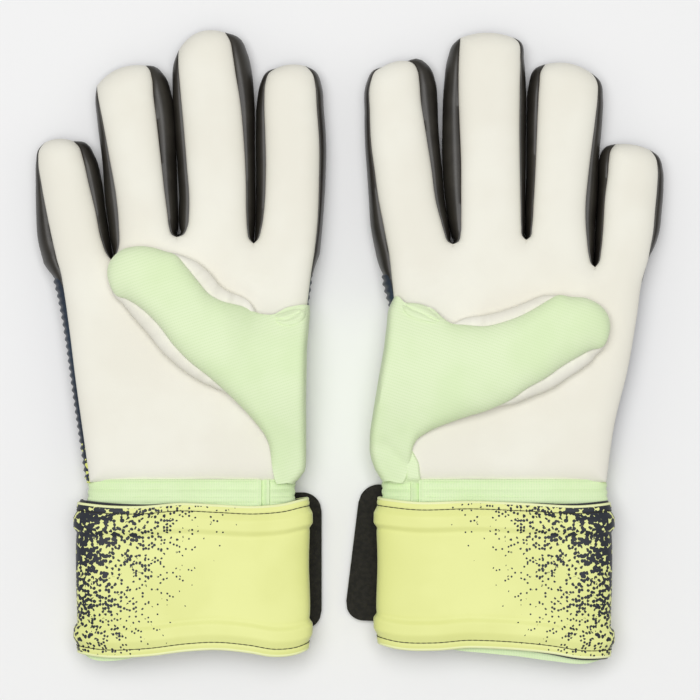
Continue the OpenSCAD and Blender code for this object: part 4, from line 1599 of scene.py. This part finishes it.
@dataclass
class Thumb(SubAssembly):
    """The folded thumb: knitted back, latex front with its rims, tuck and the wrist corner.

    Attributes:
        cols: Columns across the knit.
        rows: Rows along the thumb.
        wall_rows: Rows down the thumb edge.
        side_cols: Columns down each side of the latex.
        under_cols: Columns across its underside.
        crest: Height of the knit's top from hinge to tip, as (share, z).
        rise: Height of the knit along the hinge, from the wrist to the fingers, as (share, z).
        wall: Section of the knit up the thumb edge, as (x from the fold's outer line, z).
        corner_wall: The same at the wrist corner.
        corner_z: Height of the wrist corner.
        bed_z: Height of the thumb's underside.
        knit_t: Thickness of the knit.
        latex_t: Thickness of the latex.
        crease_depth: Depth of the crease across the base.
        roll: Reach of the rounded fold inside its outer line.
        base_share: How far in from the knit's edges the latex starts at the thumb's base, low and high.
        swing_start: Start of the line about which the thumb would swing; nothing is made to swing.
        swing_end: End of that line.
    """

    cols: int = 49
    rows: int = 84
    wall_rows: int = 22
    side_cols: int = 14
    under_cols: int = 16
    crest: Stops = ((0.0, 36.2), (0.3, 38.2), (0.6, 39.8), (0.85, 39.6), (1.0, 38.6))
    rise: Stops = ((0.0, 24.8), (0.07, 25.9), (0.15, 27.4), (0.24, 29.4), (0.34, 32.0), (0.45, 34.6),
                   (0.6, 36.2), (0.75, 35.4), (0.88, 31.6), (1.0, 26.8))
    wall: Stops = ((-1.6, KNIT_FOOT_Z), (-0.2, 9.0), (0.3, 17.0), (0.2, 25.0), (-0.2, 31.0), (-0.8, 34.2),
                   (-1.9, 35.9), (-3.6, 36.4))
    corner_wall: Stops = ((-2.4, 24.7), (-0.9, 23.8), (0.0, 21.0), (0.2, 15.0), (-0.4, 9.0), (-1.6, 4.4))
    corner_z: float = 24.7
    bed_z: float = 25.8
    knit_t: float = 0.9
    latex_t: float = 1.6
    crease_depth: float = 1.0
    roll: float = 2.6
    base_share: Tuple[float, float] = (0.15, 0.3)
    swing_start: Tuple[float, float, float] = (52.0, 40.0, 14.0)
    swing_end: Tuple[float, float, float] = (43.0, 40.0, 34.0)

    def __post_init__(self) -> None:
        """Lay out the knit's ribs and both edges."""
        self.low = smooth_path(self.cut.thumb.low, self.rows)
        self.high = smooth_path(self.cut.thumb.high, self.rows)
        self.top = self.knit_top()

    def fold_x(self, y: Array) -> Array:
        """Outer line of the fold, at places along the hand."""
        fold = np.asarray(self.cut.thumb.fold, float)
        return np.interp(y, fold[:, 0], fold[:, 1])

    def knit_top(self) -> Array:
        """Grid of the knit over the thumb, from the hinge to the tip.

        Returns:
            Rows from the hinge by columns from the wrist side.
        """
        cut = self.cut.thumb
        plan = ribs_between(self.low, self.high, self.cols, cut.bow, 0.6)
        share = spread_columns(self.cols)[None]
        s = shares(self.rows)[:, None]
        root_y = plan[0, :, 1]
        hinge = self.fold_x(root_y) - self.roll * (1.0 - 0.6 * ease((root_y - 77.0) / 6.0))
        plan[..., 0] += (1.0 - ease(s / 0.25)) * (hinge - plan[0, :, 0])
        x, y = plan[..., 0], plan[..., 1]
        across = self.high - self.low
        edge = self.low[:, None, 3] + across[:, None, 3] * share
        climb = (y - y[0, 0]) / (y[0, -1] - y[0, 0])
        base = profile(self.rise, climb.ravel()).reshape(climb.shape)
        along = share * np.linalg.norm(across[:, :2], axis=1)[:, None]
        base = base - (base - edge[:, :1]) * np.exp(-along / 1.3)
        crest = profile(self.crest, s[:, 0])[:, None]
        dome = np.sqrt(np.maximum(1.0 - np.abs(2.0 * share - 1.0) ** 2.6, 0.0))
        length = running_length(plan[:, self.cols // 2])[-1]
        top = edge + (crest - edge) * dome * (1.0 - rounded((1.0 - s) * length, 15.0, 1.0))
        z = base + (top - base + 0.35 * ripple(x, y, 30.0, 4.0) * dome) * ease((s - 0.12) / 0.3)
        if cut.crease:
            z = z - self.crease_depth * valley(plan, *cut.crease)
        return np.dstack((plan, z))

    def knit_wall(self) -> Tuple[Array, Array]:
        """Grid of the knit from the backhand's edge up and over the fold.

        Returns:
            The points, and the unrolled lengths below the hinge rib.
        """
        root = self.top[0]
        outer = self.fold_x(root[:, 1])
        path = smooth_path(self.wall, self.wall_rows)
        inward, height = path[:, :1] / -self.wall[-1][0], path[:, 1:] - KNIT_FOOT_Z
        x = outer + inward * (outer - root[:, 0])
        z = KNIT_FOOT_Z + height * (root[:, 2] - KNIT_FOOT_Z) / height[-1]
        y = np.broadcast_to(root[:, 1], x.shape)
        grid = np.dstack((self.hem(x, y, z, 0.9), y, z))
        back = np.linalg.norm(np.diff(grid, axis=0), axis=2)[::-1]
        run = np.concatenate([np.cumsum(back, axis=0)[::-1], np.zeros((1, len(root)))])
        return grid, run

    def hem(self, x: Array, y: Array, z: Array, slack: float) -> Array:
        """Place across the hand of a wall's points, drawn in to the backhand's edge towards the foot.

        Args:
            x: Place across the hand before.
            y: Place along the hand.
            z: Height.
            slack: Room left at the backhand's edge.

        Returns:
            The new place across the hand.
        """
        edge = np.asarray(self.cut.palm_high, float)
        spare = np.maximum(x - slack - np.interp(y, edge[:, 1], edge[:, 0]), 0.0)
        return x - spare * (1.0 - ease((z - KNIT_FOOT_Z) / 18.0))

    def latex_points(self) -> Array:
        """Grid of the latex from the knit's high seam, under the thumb, to its low seam.

        Returns:
            Rows from the hinge by columns round the thumb.
        """
        hidden = 1.0 - ease((shares(self.rows) - 0.05) / 0.26)
        spread = spread_columns(self.cols)
        bed = np.full(self.rows, self.bed_z)
        sides = []
        for path, turn, column, share in zip((self.low, self.high), (-1.0, 1.0), (0, -1), self.base_share):
            out = plan_normal(self.top[:, column], turn)
            width = np.maximum(path[:, 2], 0.15)
            place = np.abs(column + share * hidden)
            seam = np.array([[np.interp(at, spread, row[:, k]) for k in range(3)]
                             for at, row in zip(place, self.top)])
            waves = ripple(1.6 * seam[:, 0], 1.3 * seam[:, 1], 12.0, 3.0 + turn)
            crinkle = 0.5 * np.minimum(width, 3.0) * waves
            z = np.maximum(seam[:, 2] - hidden - 0.3, self.bed_z + 0.2)
            z = z + (self.bed_z + 1.0 - z) * hidden
            steps = ((0.0, z), (0.9 * width, z + 0.12 * width + crinkle),
                     (1.75 * width, bed + 0.35 * (z - bed)), (0.4 * width, bed))
            sides.append(sections(seam, out, steps, self.side_cols))
        low, high = sides
        u = shares(self.under_cols + 2)[1:-1, None]
        under = high[:, -1:] + (low[:, -1:] - high[:, -1:]) * u
        grid = np.concatenate([high, under, low[:, ::-1]], axis=1)
        return np.concatenate([grid, self.tip_rows(grid[-1])])

    def tip_rows(self, last: Array) -> Array:
        """Rows that close the latex under the thumb's tip, from its last row to the knit's tip edge.

        Args:
            last: The latex's last row.

        Returns:
            The rows after it.
        """
        edge = self.top[-1][::-1]
        place = shares(len(last))
        where = shares(len(edge))
        rim = np.stack([np.interp(place, where, edge[:, k]) for k in range(3)], axis=1)
        rim[:, 2] -= 0.4
        t = shares(7)[1:, None, None]
        rows = last + (rim - last) * t ** np.array([0.6, 0.6, 1.4])
        rows[..., 2] -= 0.4 * np.sin(math.pi * t[..., 0])
        return rows

    def build(self) -> List[Piece]:
        """Make the thumb's pieces.

        Returns:
            Knit, latex, tuck and wrist corner.
        """
        wall, run = self.knit_wall()
        points = np.concatenate([wall[:-1], self.top])
        below = np.dstack((self.top[0, :, 0] + run[:-1], wall[:-1, :, 1]))
        uv = np.concatenate([below, self.top[..., :2]])
        knit = self.panel("thumb_knit", points[:, ::-1], self.knit_t, THUMB_KNIT, uv=uv[:, ::-1])
        self.cloth(knit, sheet_area(points), 150.0, "ribbed_backhand")
        self.swing(knit)
        pieces = [self.enter(knit, Slot.KNIT, "thumb_back", "thumb_gusset")]
        points = self.latex_points()
        latex = self.panel("thumb_front", points, self.latex_t, LATEX, LINING, uv=points[..., :2])
        self.swing(latex)
        pieces.append(self.enter(latex, Slot.LATEX, "thumb_latex", fill=LATEX_FILL))
        points = self.tuck_points()
        tuck = self.panel("thumb_tuck", points, self.knit_t, THUMB_KNIT, uv=points[..., :2])
        self.cloth(tuck, sheet_area(points), 22.0, "thumb_knit")
        self.swing(tuck)
        points = self.corner_points()
        corner = self.panel("wrist_corner", points, self.knit_t, THUMB_KNIT)
        self.cloth(corner, sheet_area(points), 32.0, "wristband_knit")
        return pieces + [self.enter(tuck, Slot.KNIT), self.enter(corner, Slot.KNIT, body="hand")]

    def swing(self, piece: Piece) -> None:
        """Bake a thumb piece's transform into its mesh; nothing is made to turn with the thumb."""
        self.hand.node("hand")
        self.hand.node("thumb")
        self.hand.spot(*self.swing_start)
        self.hand.spot(*self.swing_end)
        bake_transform(piece)

    def tuck_points(self) -> Array:
        """Grid of the pinched tuck of knit where the thumb leaves the palm.

        Returns:
            Rows along the tuck by columns across it.
        """
        rows, cols = 40, 21
        path = smooth_path(self.cut.thumb.tuck, rows)
        share = np.linspace(-1.0, 1.0, cols)
        half = path[:, 2:]
        plan = path[:, None, :2] + plan_normal(path, 1.0)[:, None] * (share[:, None] * half[:, None])
        puff = np.sqrt(np.maximum(1.0 - share ** 2, 0.0))
        line = 0.7 * (shares(rows)[:, None] - 0.5)
        crease = 0.9 * bell(share + line, 0.22) * np.minimum(half / 2.0, 1.0)
        bed = self.top.reshape(-1, 3)
        near = 1.0 / (((plan[:, :, None] - bed[:, :2]) ** 2).sum(3) + 0.3) ** 2
        z = (near * bed[:, 2]).sum(2) / near.sum(2) - 0.3 + 1.15 * puff * np.minimum(half, 2.4) - crease
        return np.dstack((plan, z))

    def corner_points(self) -> Array:
        """Grid of the knit at the wrist corner, which stays on the hand when the thumb swings out.

        Returns:
            Rows along the hand by columns from the palm, over the edge and down.
        """
        cut = self.cut.thumb
        rows, cols, wall_cols = 44, 22, 18
        y = np.linspace(0.4, 28.0, rows)[:, None]
        inner = profile(cut.corner, y[:, 0])[:, None]
        outer = profile(cut.fold, y[:, 0])[:, None] - 1.4
        share = shares(cols)
        x = inner + (outer + self.corner_wall[0][0] - inner) * share
        hem = bell(y - 0.4, 1.6)
        rise = cut.corner_rise * (1.0 - ease((share - 0.36) / 0.16)) * ease(share / 0.06 + 0.3)
        z = self.corner_z - 1.6 * hem + rise * (1.0 - hem)
        step = smooth_path(self.corner_wall, wall_cols)[1:]
        foot = self.corner_wall[-1][1]
        wall_z = foot + (step[:, 1] - foot) * (z[:, -1:] - foot) / (self.corner_z - foot)
        wall_y = np.broadcast_to(y, wall_z.shape)
        wall = np.dstack((self.hem(outer + step[:, 0], wall_y, wall_z, -0.4), wall_y, wall_z))
        bench = np.dstack((x, np.broadcast_to(y, x.shape), z))
        return np.concatenate([bench, wall], axis=1)


@dataclass
class Wrist(SubAssembly):
    """Wristband, strap, flap, hook tab and loop patch.

    Attributes:
        centre_z: Height of the wrist's middle.
        half_h: Half of the height over the strap.
        square: Squareness of the sections.
        strap_t: Thickness of the strap.
        rib: Height of the padded ribs.
        rib_inset: Edge to the inner crease of a padded rib.
        hinge_z: Height of the line where the flap leaves the band.
        flap_t: Thickness of the flap.
        flap_reach: Reach of the flap past the middle.
        band_t: Thickness of the wristband.
        band_start: Where the wristband starts, under the palm.
        band_half: Half width and half height of the wristband's plain section.
        band_z: Height of the wristband's middle under the palm.
        band_flare: Half width of the wristband under the strap.
        row_pitch: Row to row of the wristband's knit.
        row_height: Height of those rows.
        strap_from: Angle of the strap's end under the wrist, in degrees.
        strap_y: Middle of the strap along the hand.
        tab_half: Half width of the hook tab.
        tab_corner: Radius of its corners.
        tab_root: Where it starts on the flap.
        tab_pivot: Where its turn starts.
        tab_z: Height of its upper face.
        tab_t: Thickness of the hook tab.
        loop_t: Thickness of the loop patch.
    """

    centre_z: float = 18.1
    half_h: float = 12.4
    square: float = 4.0
    strap_t: float = 2.6
    rib: float = 1.4
    rib_inset: float = 13.0
    hinge_z: float = 12.0
    flap_t: float = 2.2
    flap_reach: float = 28.0
    band_t: float = 1.4
    band_start: float = 2.2
    band_half: Tuple[float, float] = (46.5, 10.0)
    band_z: float = 12.4
    band_flare: float = 47.6
    row_pitch: float = 3.05
    row_height: float = 0.65
    strap_from: float = -96.0
    strap_y: float = -40.5
    tab_half: float = 30.4
    tab_corner: float = 8.5
    tab_root: float = 8.0
    tab_pivot: float = 20.0
    tab_z: float = 3.6
    tab_t: float = 1.0
    loop_t: float = 0.7

    def ring(self, angle: Array, half_w: Array, half_h: Array) -> Tuple[Array, Array]:
        """Places x and z, from the middle, on a rounded section at angles from the thumb side, up."""
        c, s = (np.sign(v) * np.abs(v) ** (2.0 / self.square) for v in (np.cos(angle), np.sin(angle)))
        return half_w * c, half_h * s

    def band_angles(self, start: float, stop: float, count: int) -> Array:
        """Angles whose points are evenly spaced along the strap's section.

        Args:
            start: First angle in degrees.
            stop: Last angle in degrees.
            count: Number of angles.

        Returns:
            The angles in radians.
        """
        fine = np.radians(np.linspace(start, stop, 1200))
        run = running_length(np.column_stack(self.ring(fine, self.cut.wrist.half, self.half_h)))
        return np.interp(np.linspace(0.0, run[-1], count), run, fine)

    def stop_angle(self) -> float:
        """Angle of the line where the flap leaves the band, in degrees."""
        rise = (self.hinge_z - self.centre_z) / self.half_h
        return 180.0 + math.degrees(math.asin(abs(rise) ** (self.square / 2.0)))

    def strap_edges(self, x: Array) -> Tuple[Array, Array]:
        """The strap's edge at the hand and its far edge, at places across the wrist."""
        return profile(self.cut.wrist.top, x), profile(self.cut.wrist.bottom, x)

    def rib_share(self, angle: Array) -> Array:
        """Strength of the padded ribs, from 0 to 1; they fade out at the back and at the flap."""
        front, degrees = 0.62 + 0.38 * np.cos(angle) ** 2, np.degrees(angle)
        return front * ease((degrees + 40.0) / 40.0) * ease((self.stop_angle() - degrees) / 6.0)

    def strap_lift(self, x: Array, y: Array, near: Array, far: Array, ribs: Array) -> Array:
        """How far the padding, seams and looseness move the strap's face out.

        Args:
            x: Places across the wrist.
            y: Places along the wrist.
            near: The strap's edge at the hand, at those places.
            far: Its far edge.
            ribs: Strength of the padded ribs.

        Returns:
            The distance out from the plain section.
        """
        edge = np.minimum(y - far, near - y)
        pad = ease((edge - 3.4) / 3.4) * ease((self.rib_inset - edge) / 2.6) * ribs
        crease = bell(edge - self.rib_inset - 0.3, 0.7) * ribs
        thread = bell(edge - STITCH_INSET, 0.7)
        billow = 0.35 * ripple(x, y, 44.0, 5.0) * ease(edge / 8.0)
        return self.rib * pad - 0.15 * crease - 0.25 * thread - 0.5 * ease(1.0 - edge / 2.4) + billow

    def strap_points(self, angle: Array, share: Array, shift: float = 0.0, lift: float = 0.0) -> Array:
        """Points of the strap's outside.

        Args:
            angle: Places round the wrist.
            share: Places from the far edge, 0, to the edge at the hand, 1.
            shift: Distance on from there towards the hand.
            lift: Distance out from the strap's face.

        Returns:
            The points.
        """
        wrist = self.cut.wrist
        x, _ = self.ring(angle, wrist.half, self.half_h)
        near, far = self.strap_edges(x + wrist.middle)
        y = far + (near - far) * share + shift
        out = lift + self.strap_lift(x, y, near, far, self.rib_share(angle))
        x, z = self.ring(angle, wrist.half + out, self.half_h + out)
        return np.stack([wrist.middle + x, y, self.centre_z + z], axis=-1)

    def edge_paths(self, inset: float, lift: float, count: int = 200) -> List[Array]:
        """Points along the strap's edge at the hand and along its far edge, from the back to the flap."""
        angle = self.band_angles(self.strap_from + 4.0, self.stop_angle() - 1.0, count)
        return [self.strap_points(angle, *edge, lift) for edge in ((1.0, -inset), (0.0, inset))]

    def build(self) -> List[Piece]:
        """Make all pieces of the wrist.

        Returns:
            The pieces.
        """
        pieces = [self.wristband(), self.strap(), self.edging(), self.facing(), self.flap(), self.hook_tab()]
        return pieces + [self.loop_patch(), self.stitches()]

    def band_points(self) -> Tuple[Array, Array]:
        """Grid of the wristband, from under the palm to past the strap.

        Returns:
            The points, and the pattern places (run round the band, y).
        """
        wrist = self.cut.wrist
        rows, cols = 110, 261
        angle = np.radians(np.interp(shares(cols), (0.0, 0.6, 1.0), (0.0, 180.0, 360.0)))
        section = np.column_stack(self.ring(angle, *self.band_half))
        run = shares(rows)[:, None] ** 1.35
        y = self.band_start + (profile(wrist.band_end, section[:, 0]) - self.band_start) * run
        bend = ease(-y / 7.0)
        flare = ease((-y - 7.0) / 8.0)
        half, middle = wrist.band
        half_w = half + (self.band_flare - half) * flare
        half_h = 11.4 - 3.4 * bend
        centre = self.band_z + (self.centre_z - self.band_z) * bend
        row = self.row_height * np.abs(np.sin(math.pi * (y + 2.0) / self.row_pitch)) ** 0.6
        row = row * ease((y + 14.0) / 3.0)
        x, _ = self.ring(angle, half_w, half_h)
        away = np.abs(x + middle - wrist.seam_x)
        seam = (bell(away - 1.7, 0.8) - 0.8 * bell(away, 0.6)) * (np.sin(angle) > 0)
        lift = row * (1.0 - np.exp(-(away / 3.0) ** 4)) + 1.3 * seam
        x, z = self.ring(angle, half_w + lift, half_h + lift)
        points = np.dstack((x + middle + (wrist.middle - middle) * flare, y, centre + z))
        return points, np.dstack((np.broadcast_to(running_length(section), y.shape), y))

    def wristband(self) -> Piece:
        """The knitted wristband.

        Returns:
            The piece.
        """
        points, uv = self.band_points()
        piece = grid_piece(self.hand.node("wristband_knit"), points, self.hand, uv, ring=True)
        self.close(piece, self.band_t, BAND_KNIT, LINING)
        self.cloth(piece, sheet_area(points), 290.0, "palm")
        return self.enter(piece, Slot.KNIT, "wristband", body="hand")

    def strap(self) -> Piece:
        """The strap's band, from the back round the thumb side and over the front.

        Returns:
            The piece.
        """
        rows, cols = 140, 200
        angle = self.band_angles(self.strap_from, self.stop_angle(), cols)
        points = self.strap_points(angle, shares(rows)[:, None])[:, ::-1]
        run = running_length(np.column_stack(self.ring(angle, self.cut.wrist.half, self.half_h)))
        past_fold = (np.interp(math.pi, angle, run) - run)[::-1]
        uv = np.dstack((np.broadcast_to(past_fold, points.shape[:2]), points[..., 1]))
        piece = self.panel("strap_face", points, self.strap_t, STRAP_FACE, DARK_LINING, uv=uv)
        return self.enter(piece, Slot.STRAP, "strap_band", "strap_ribs", body="hand", fill=STRAP_FILL)

    def rolls(self, name: str, paths: Sequence[Array], finish: Finish) -> Piece:
        """Rolls along paths, as one piece.

        Args:
            name: Name of the piece, without its hand.
            paths: Points of each roll.
            finish: Its finish.

        Returns:
            The piece.
        """
        piece = join([tube(path, self.hand) for path in paths], self.hand.node(name))
        self.room.dress(piece, finish)
        bpy.ops.object.shade_smooth()
        return piece

    def edging(self) -> Piece:
        """Rolled bindings along both edges of the strap."""
        piece = self.rolls("strap_edging", self.edge_paths(0.2, -0.5), BINDING)
        return self.enter(piece, Slot.STRAP, "strap_binding", body="hand")

    def facing(self) -> Piece:
        """Edges of the strap's dark facing, which show past its bindings towards the little finger.

        Returns:
            The piece.
        """
        paths = self.edge_paths(0.7, -1.7)
        for path, sign, shown in zip(paths, (1.0, -1.0), self.cut.wrist.facing):
            path[:, 1] += sign * shown * ease((10.0 - path[:, 0]) / 50.0)
        return self.enter(self.rolls("strap_facing", paths, DARK_LINING), Slot.LINING_DARK, body="hand")

    def stitches(self) -> Piece:
        """Thread along both edges of the strap.

        Returns:
            The piece.
        """
        piece = stitch_run(self.hand.node("strap_stitches"), self.edge_paths(STITCH_INSET, 0.1, 420),
                           self.hand, length=3.0, gap=-0.5, radius=0.26)
        self.room.dress(piece, THREAD)
        return self.enter(piece, Slot.STRAP, body="hand")

    def flap(self) -> Piece:
        """The free flap, from the little-finger fold back under the wrist.

        Returns:
            The piece.
        """
        rows, bend_cols, flat_cols = 60, 26, 60
        radius = self.hinge_z
        fold_x = self.cut.wrist.middle - self.cut.wrist.half
        turn = np.radians(np.linspace(180.0, 270.0, bend_cols))
        bend = np.stack([fold_x + radius + radius * np.cos(turn), radius + radius * np.sin(turn)], axis=1)
        straight = np.linspace(bend[-1, 0], self.flap_reach, flat_cols)[1:]
        path = np.concatenate([bend, np.stack([straight, np.zeros(len(straight))], axis=1)])
        near, far = self.strap_edges(np.minimum(path[:, 0], 0.0))
        share = shares(rows)[:, None]
        corner = rounded(self.flap_reach - path[:, 0], 10.0, 8.0) * np.abs(2.0 * share - 1.0)
        y = far + (near - far) * share + np.where(share > 0.5, -corner, corner)
        x, z, run = np.broadcast_arrays(path[:, 0], path[:, 1], running_length(path), y)[:3]
        uv = np.dstack((self.centre_z - self.hinge_z + run, y))
        points = np.dstack((x, y, z))
        piece = self.panel("flap_face", points[::-1], self.flap_t, STRAP_FACE, DARK_LINING, uv=uv[::-1])
        self.hand.node("hand")
        self.hand.node("flap")
        self.hand.spot(fold_x, -40.0, self.hinge_z)
        self.hand.spot(fold_x + 1.0, -40.0, self.hinge_z - 7.0)
        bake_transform(piece)
        return self.enter(piece, Slot.STRAP, "strap_flap", fill=FLAP_FILL)

    def hook_tab(self) -> Piece:
        """The hook tab on the flap's end, fuzzy on its upper face.

        Returns:
            The piece.
        """
        reach, middle, turn = self.cut.wrist.tab
        rows, cols = 88, 72
        x = np.broadcast_to(np.linspace(self.tab_root, reach, cols), (rows, cols))
        into = np.clip(1.0 - (reach - x) / self.tab_corner, 0.0, 1.0)
        half = self.tab_half - self.tab_corner * (1.0 - np.sqrt(np.maximum(1.0 - into ** 2, 0.0)))
        y = np.linspace(-1.0, 1.0, rows)[:, None] * half
        c, s = math.cos(math.radians(turn)), math.sin(math.radians(turn))
        along = x - self.tab_pivot
        fuzz = np.random.default_rng(11).random(x.shape)
        for border in (np.s_[:, -3:], np.s_[:2], np.s_[-2:]):
            fuzz[border] = 0.5
        points = np.dstack((self.tab_pivot + along * c - y * s, middle + 0.4 * along * s + y * c,
                            self.tab_z + 0.3 * fuzz))
        piece = self.panel("hook_pad", points, self.tab_t, HOOK)
        return self.enter(piece, Slot.HOOK_LOOP, "hook_tab", body="flap", fill=PATCH_FILL)

    def loop_patch(self) -> Piece:
        """The loop patch under the band's back run, where the hook tab grips.

        Returns:
            The piece.
        """
        wrist = self.cut.wrist
        rows, cols = 70, 54
        x, y = np.meshgrid(np.linspace(42.0, 2.0, cols), self.strap_y + np.linspace(-30.0, 30.0, rows))
        drop = (1.0 - np.abs((x - wrist.middle) / wrist.half) ** self.square) ** (1.0 / self.square)
        z = self.centre_z - self.half_h * drop - 0.5 - 0.4 * np.random.default_rng(7).random(x.shape)
        piece = self.panel("loop_pad", np.dstack((x, y, z)), self.loop_t, HOOK)
        return self.enter(piece, Slot.HOOK_LOOP, "loop_patch", body="hand", fill=PATCH_FILL)


@dataclass
class Glove(SubAssembly):
    """One whole glove."""

    def build(self) -> List[Piece]:
        """Make all pieces of the glove.

        Returns:
            The pieces.
        """
        front = Front(self.cut, self.room)
        parts = (front, Fingers(self.cut, self.room, front), Backhand(self.cut, self.room, front),
                 Thumb(self.cut, self.room), Wrist(self.cut, self.room))
        return [piece for part in parts for piece in part.build()]


@dataclass
class Studio:
    """Floor, light and camera.

    Attributes:
        frame_width: Width of the picture on the floor, in metres.
        lens: Focal length in millimetres.
        sensor: Width of the sensor in millimetres.
        look: Point under the middle of the picture.
        floor: Colour of the floor.
        sky: Strength of the even light.
        key: Strength of the large lamp.
        key_place: Place of the large lamp.
        key_size: Width of the large lamp.
    """

    frame_width: float = 0.307
    lens: float = 180.0
    sensor: float = 36.0
    look: Tuple[float, float, float] = (0.0005, -0.0015, 0.022)
    floor: Colour = srgb(239, 239, 239)
    sky: float = 0.34
    key: float = 45.0
    key_place: Tuple[float, float, float] = (-0.12, 0.2, 2.4)
    key_size: float = 1.5

    def build(self) -> None:
        """Set up the stage."""
        bpy.context.scene.view_settings.view_transform = "Standard"
        self.light()
        self.lay_floor()
        self.place_camera()

    def light(self) -> None:
        """Even light from all round and one large soft lamp."""
        world = bpy.data.worlds.new("studio")
        world.use_nodes = True
        bpy.context.scene.world = world
        background = world.node_tree.nodes["Background"]
        background.inputs["Color"].default_value = WHITE
        background.inputs["Strength"].default_value = self.sky
        deselect()
        bpy.ops.object.light_add(type="AREA", location=self.key_place)
        lamp = bpy.context.active_object
        lamp.name = "key_lamp"
        lamp.data.shape = "SQUARE"
        lamp.data.size = self.key_size
        lamp.data.energy = self.key
        lamp.rotation_euler = (-lamp.location).to_track_quat("-Z", "Y").to_euler()

    def lay_floor(self) -> None:
        """A wide pale floor that keeps the gloves' soft shadow."""
        deselect()
        bpy.ops.mesh.primitive_plane_add(size=8.0, location=(0.0, 0.0, 0.0))
        floor = bpy.context.active_object
        floor.name = "studio_floor"
        material = bpy.data.materials.new("studio_floor")
        material.use_nodes = True
        shader = material.node_tree.nodes["Principled BSDF"]
        shader.inputs["Base Color"].default_value = self.floor
        shader.inputs["Roughness"].default_value = 0.9
        shader.inputs["Specular IOR Level"].default_value = 0.1
        floor.data.materials.append(material)

    def place_camera(self) -> None:
        """A long lens straight above."""
        data = bpy.data.cameras.new("overhead")
        data.lens = self.lens
        data.sensor_width = self.sensor
        data.clip_end = 100.0
        camera = bpy.data.objects.new("overhead", data)
        bpy.context.scene.collection.objects.link(camera)
        x, y, z = self.look
        camera.location = (x, y, z + self.frame_width * self.lens / self.sensor)
        bpy.context.scene.camera = camera


def main() -> None:
    """Build both gloves on the frame, and the studio."""
    logging.basicConfig(level=logging.INFO, format="%(name)s %(message)s")
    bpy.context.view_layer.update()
    Studio().build()
    room = Cloakroom(Groups.build())
    for cut in (RIGHT_CUT, LEFT_CUT):
        pieces = Glove(cut, room).build()
        LOG.info("%s glove: %d pieces", cut.hand.side.value, len(pieces))


if __name__ == "__main__":
    main()
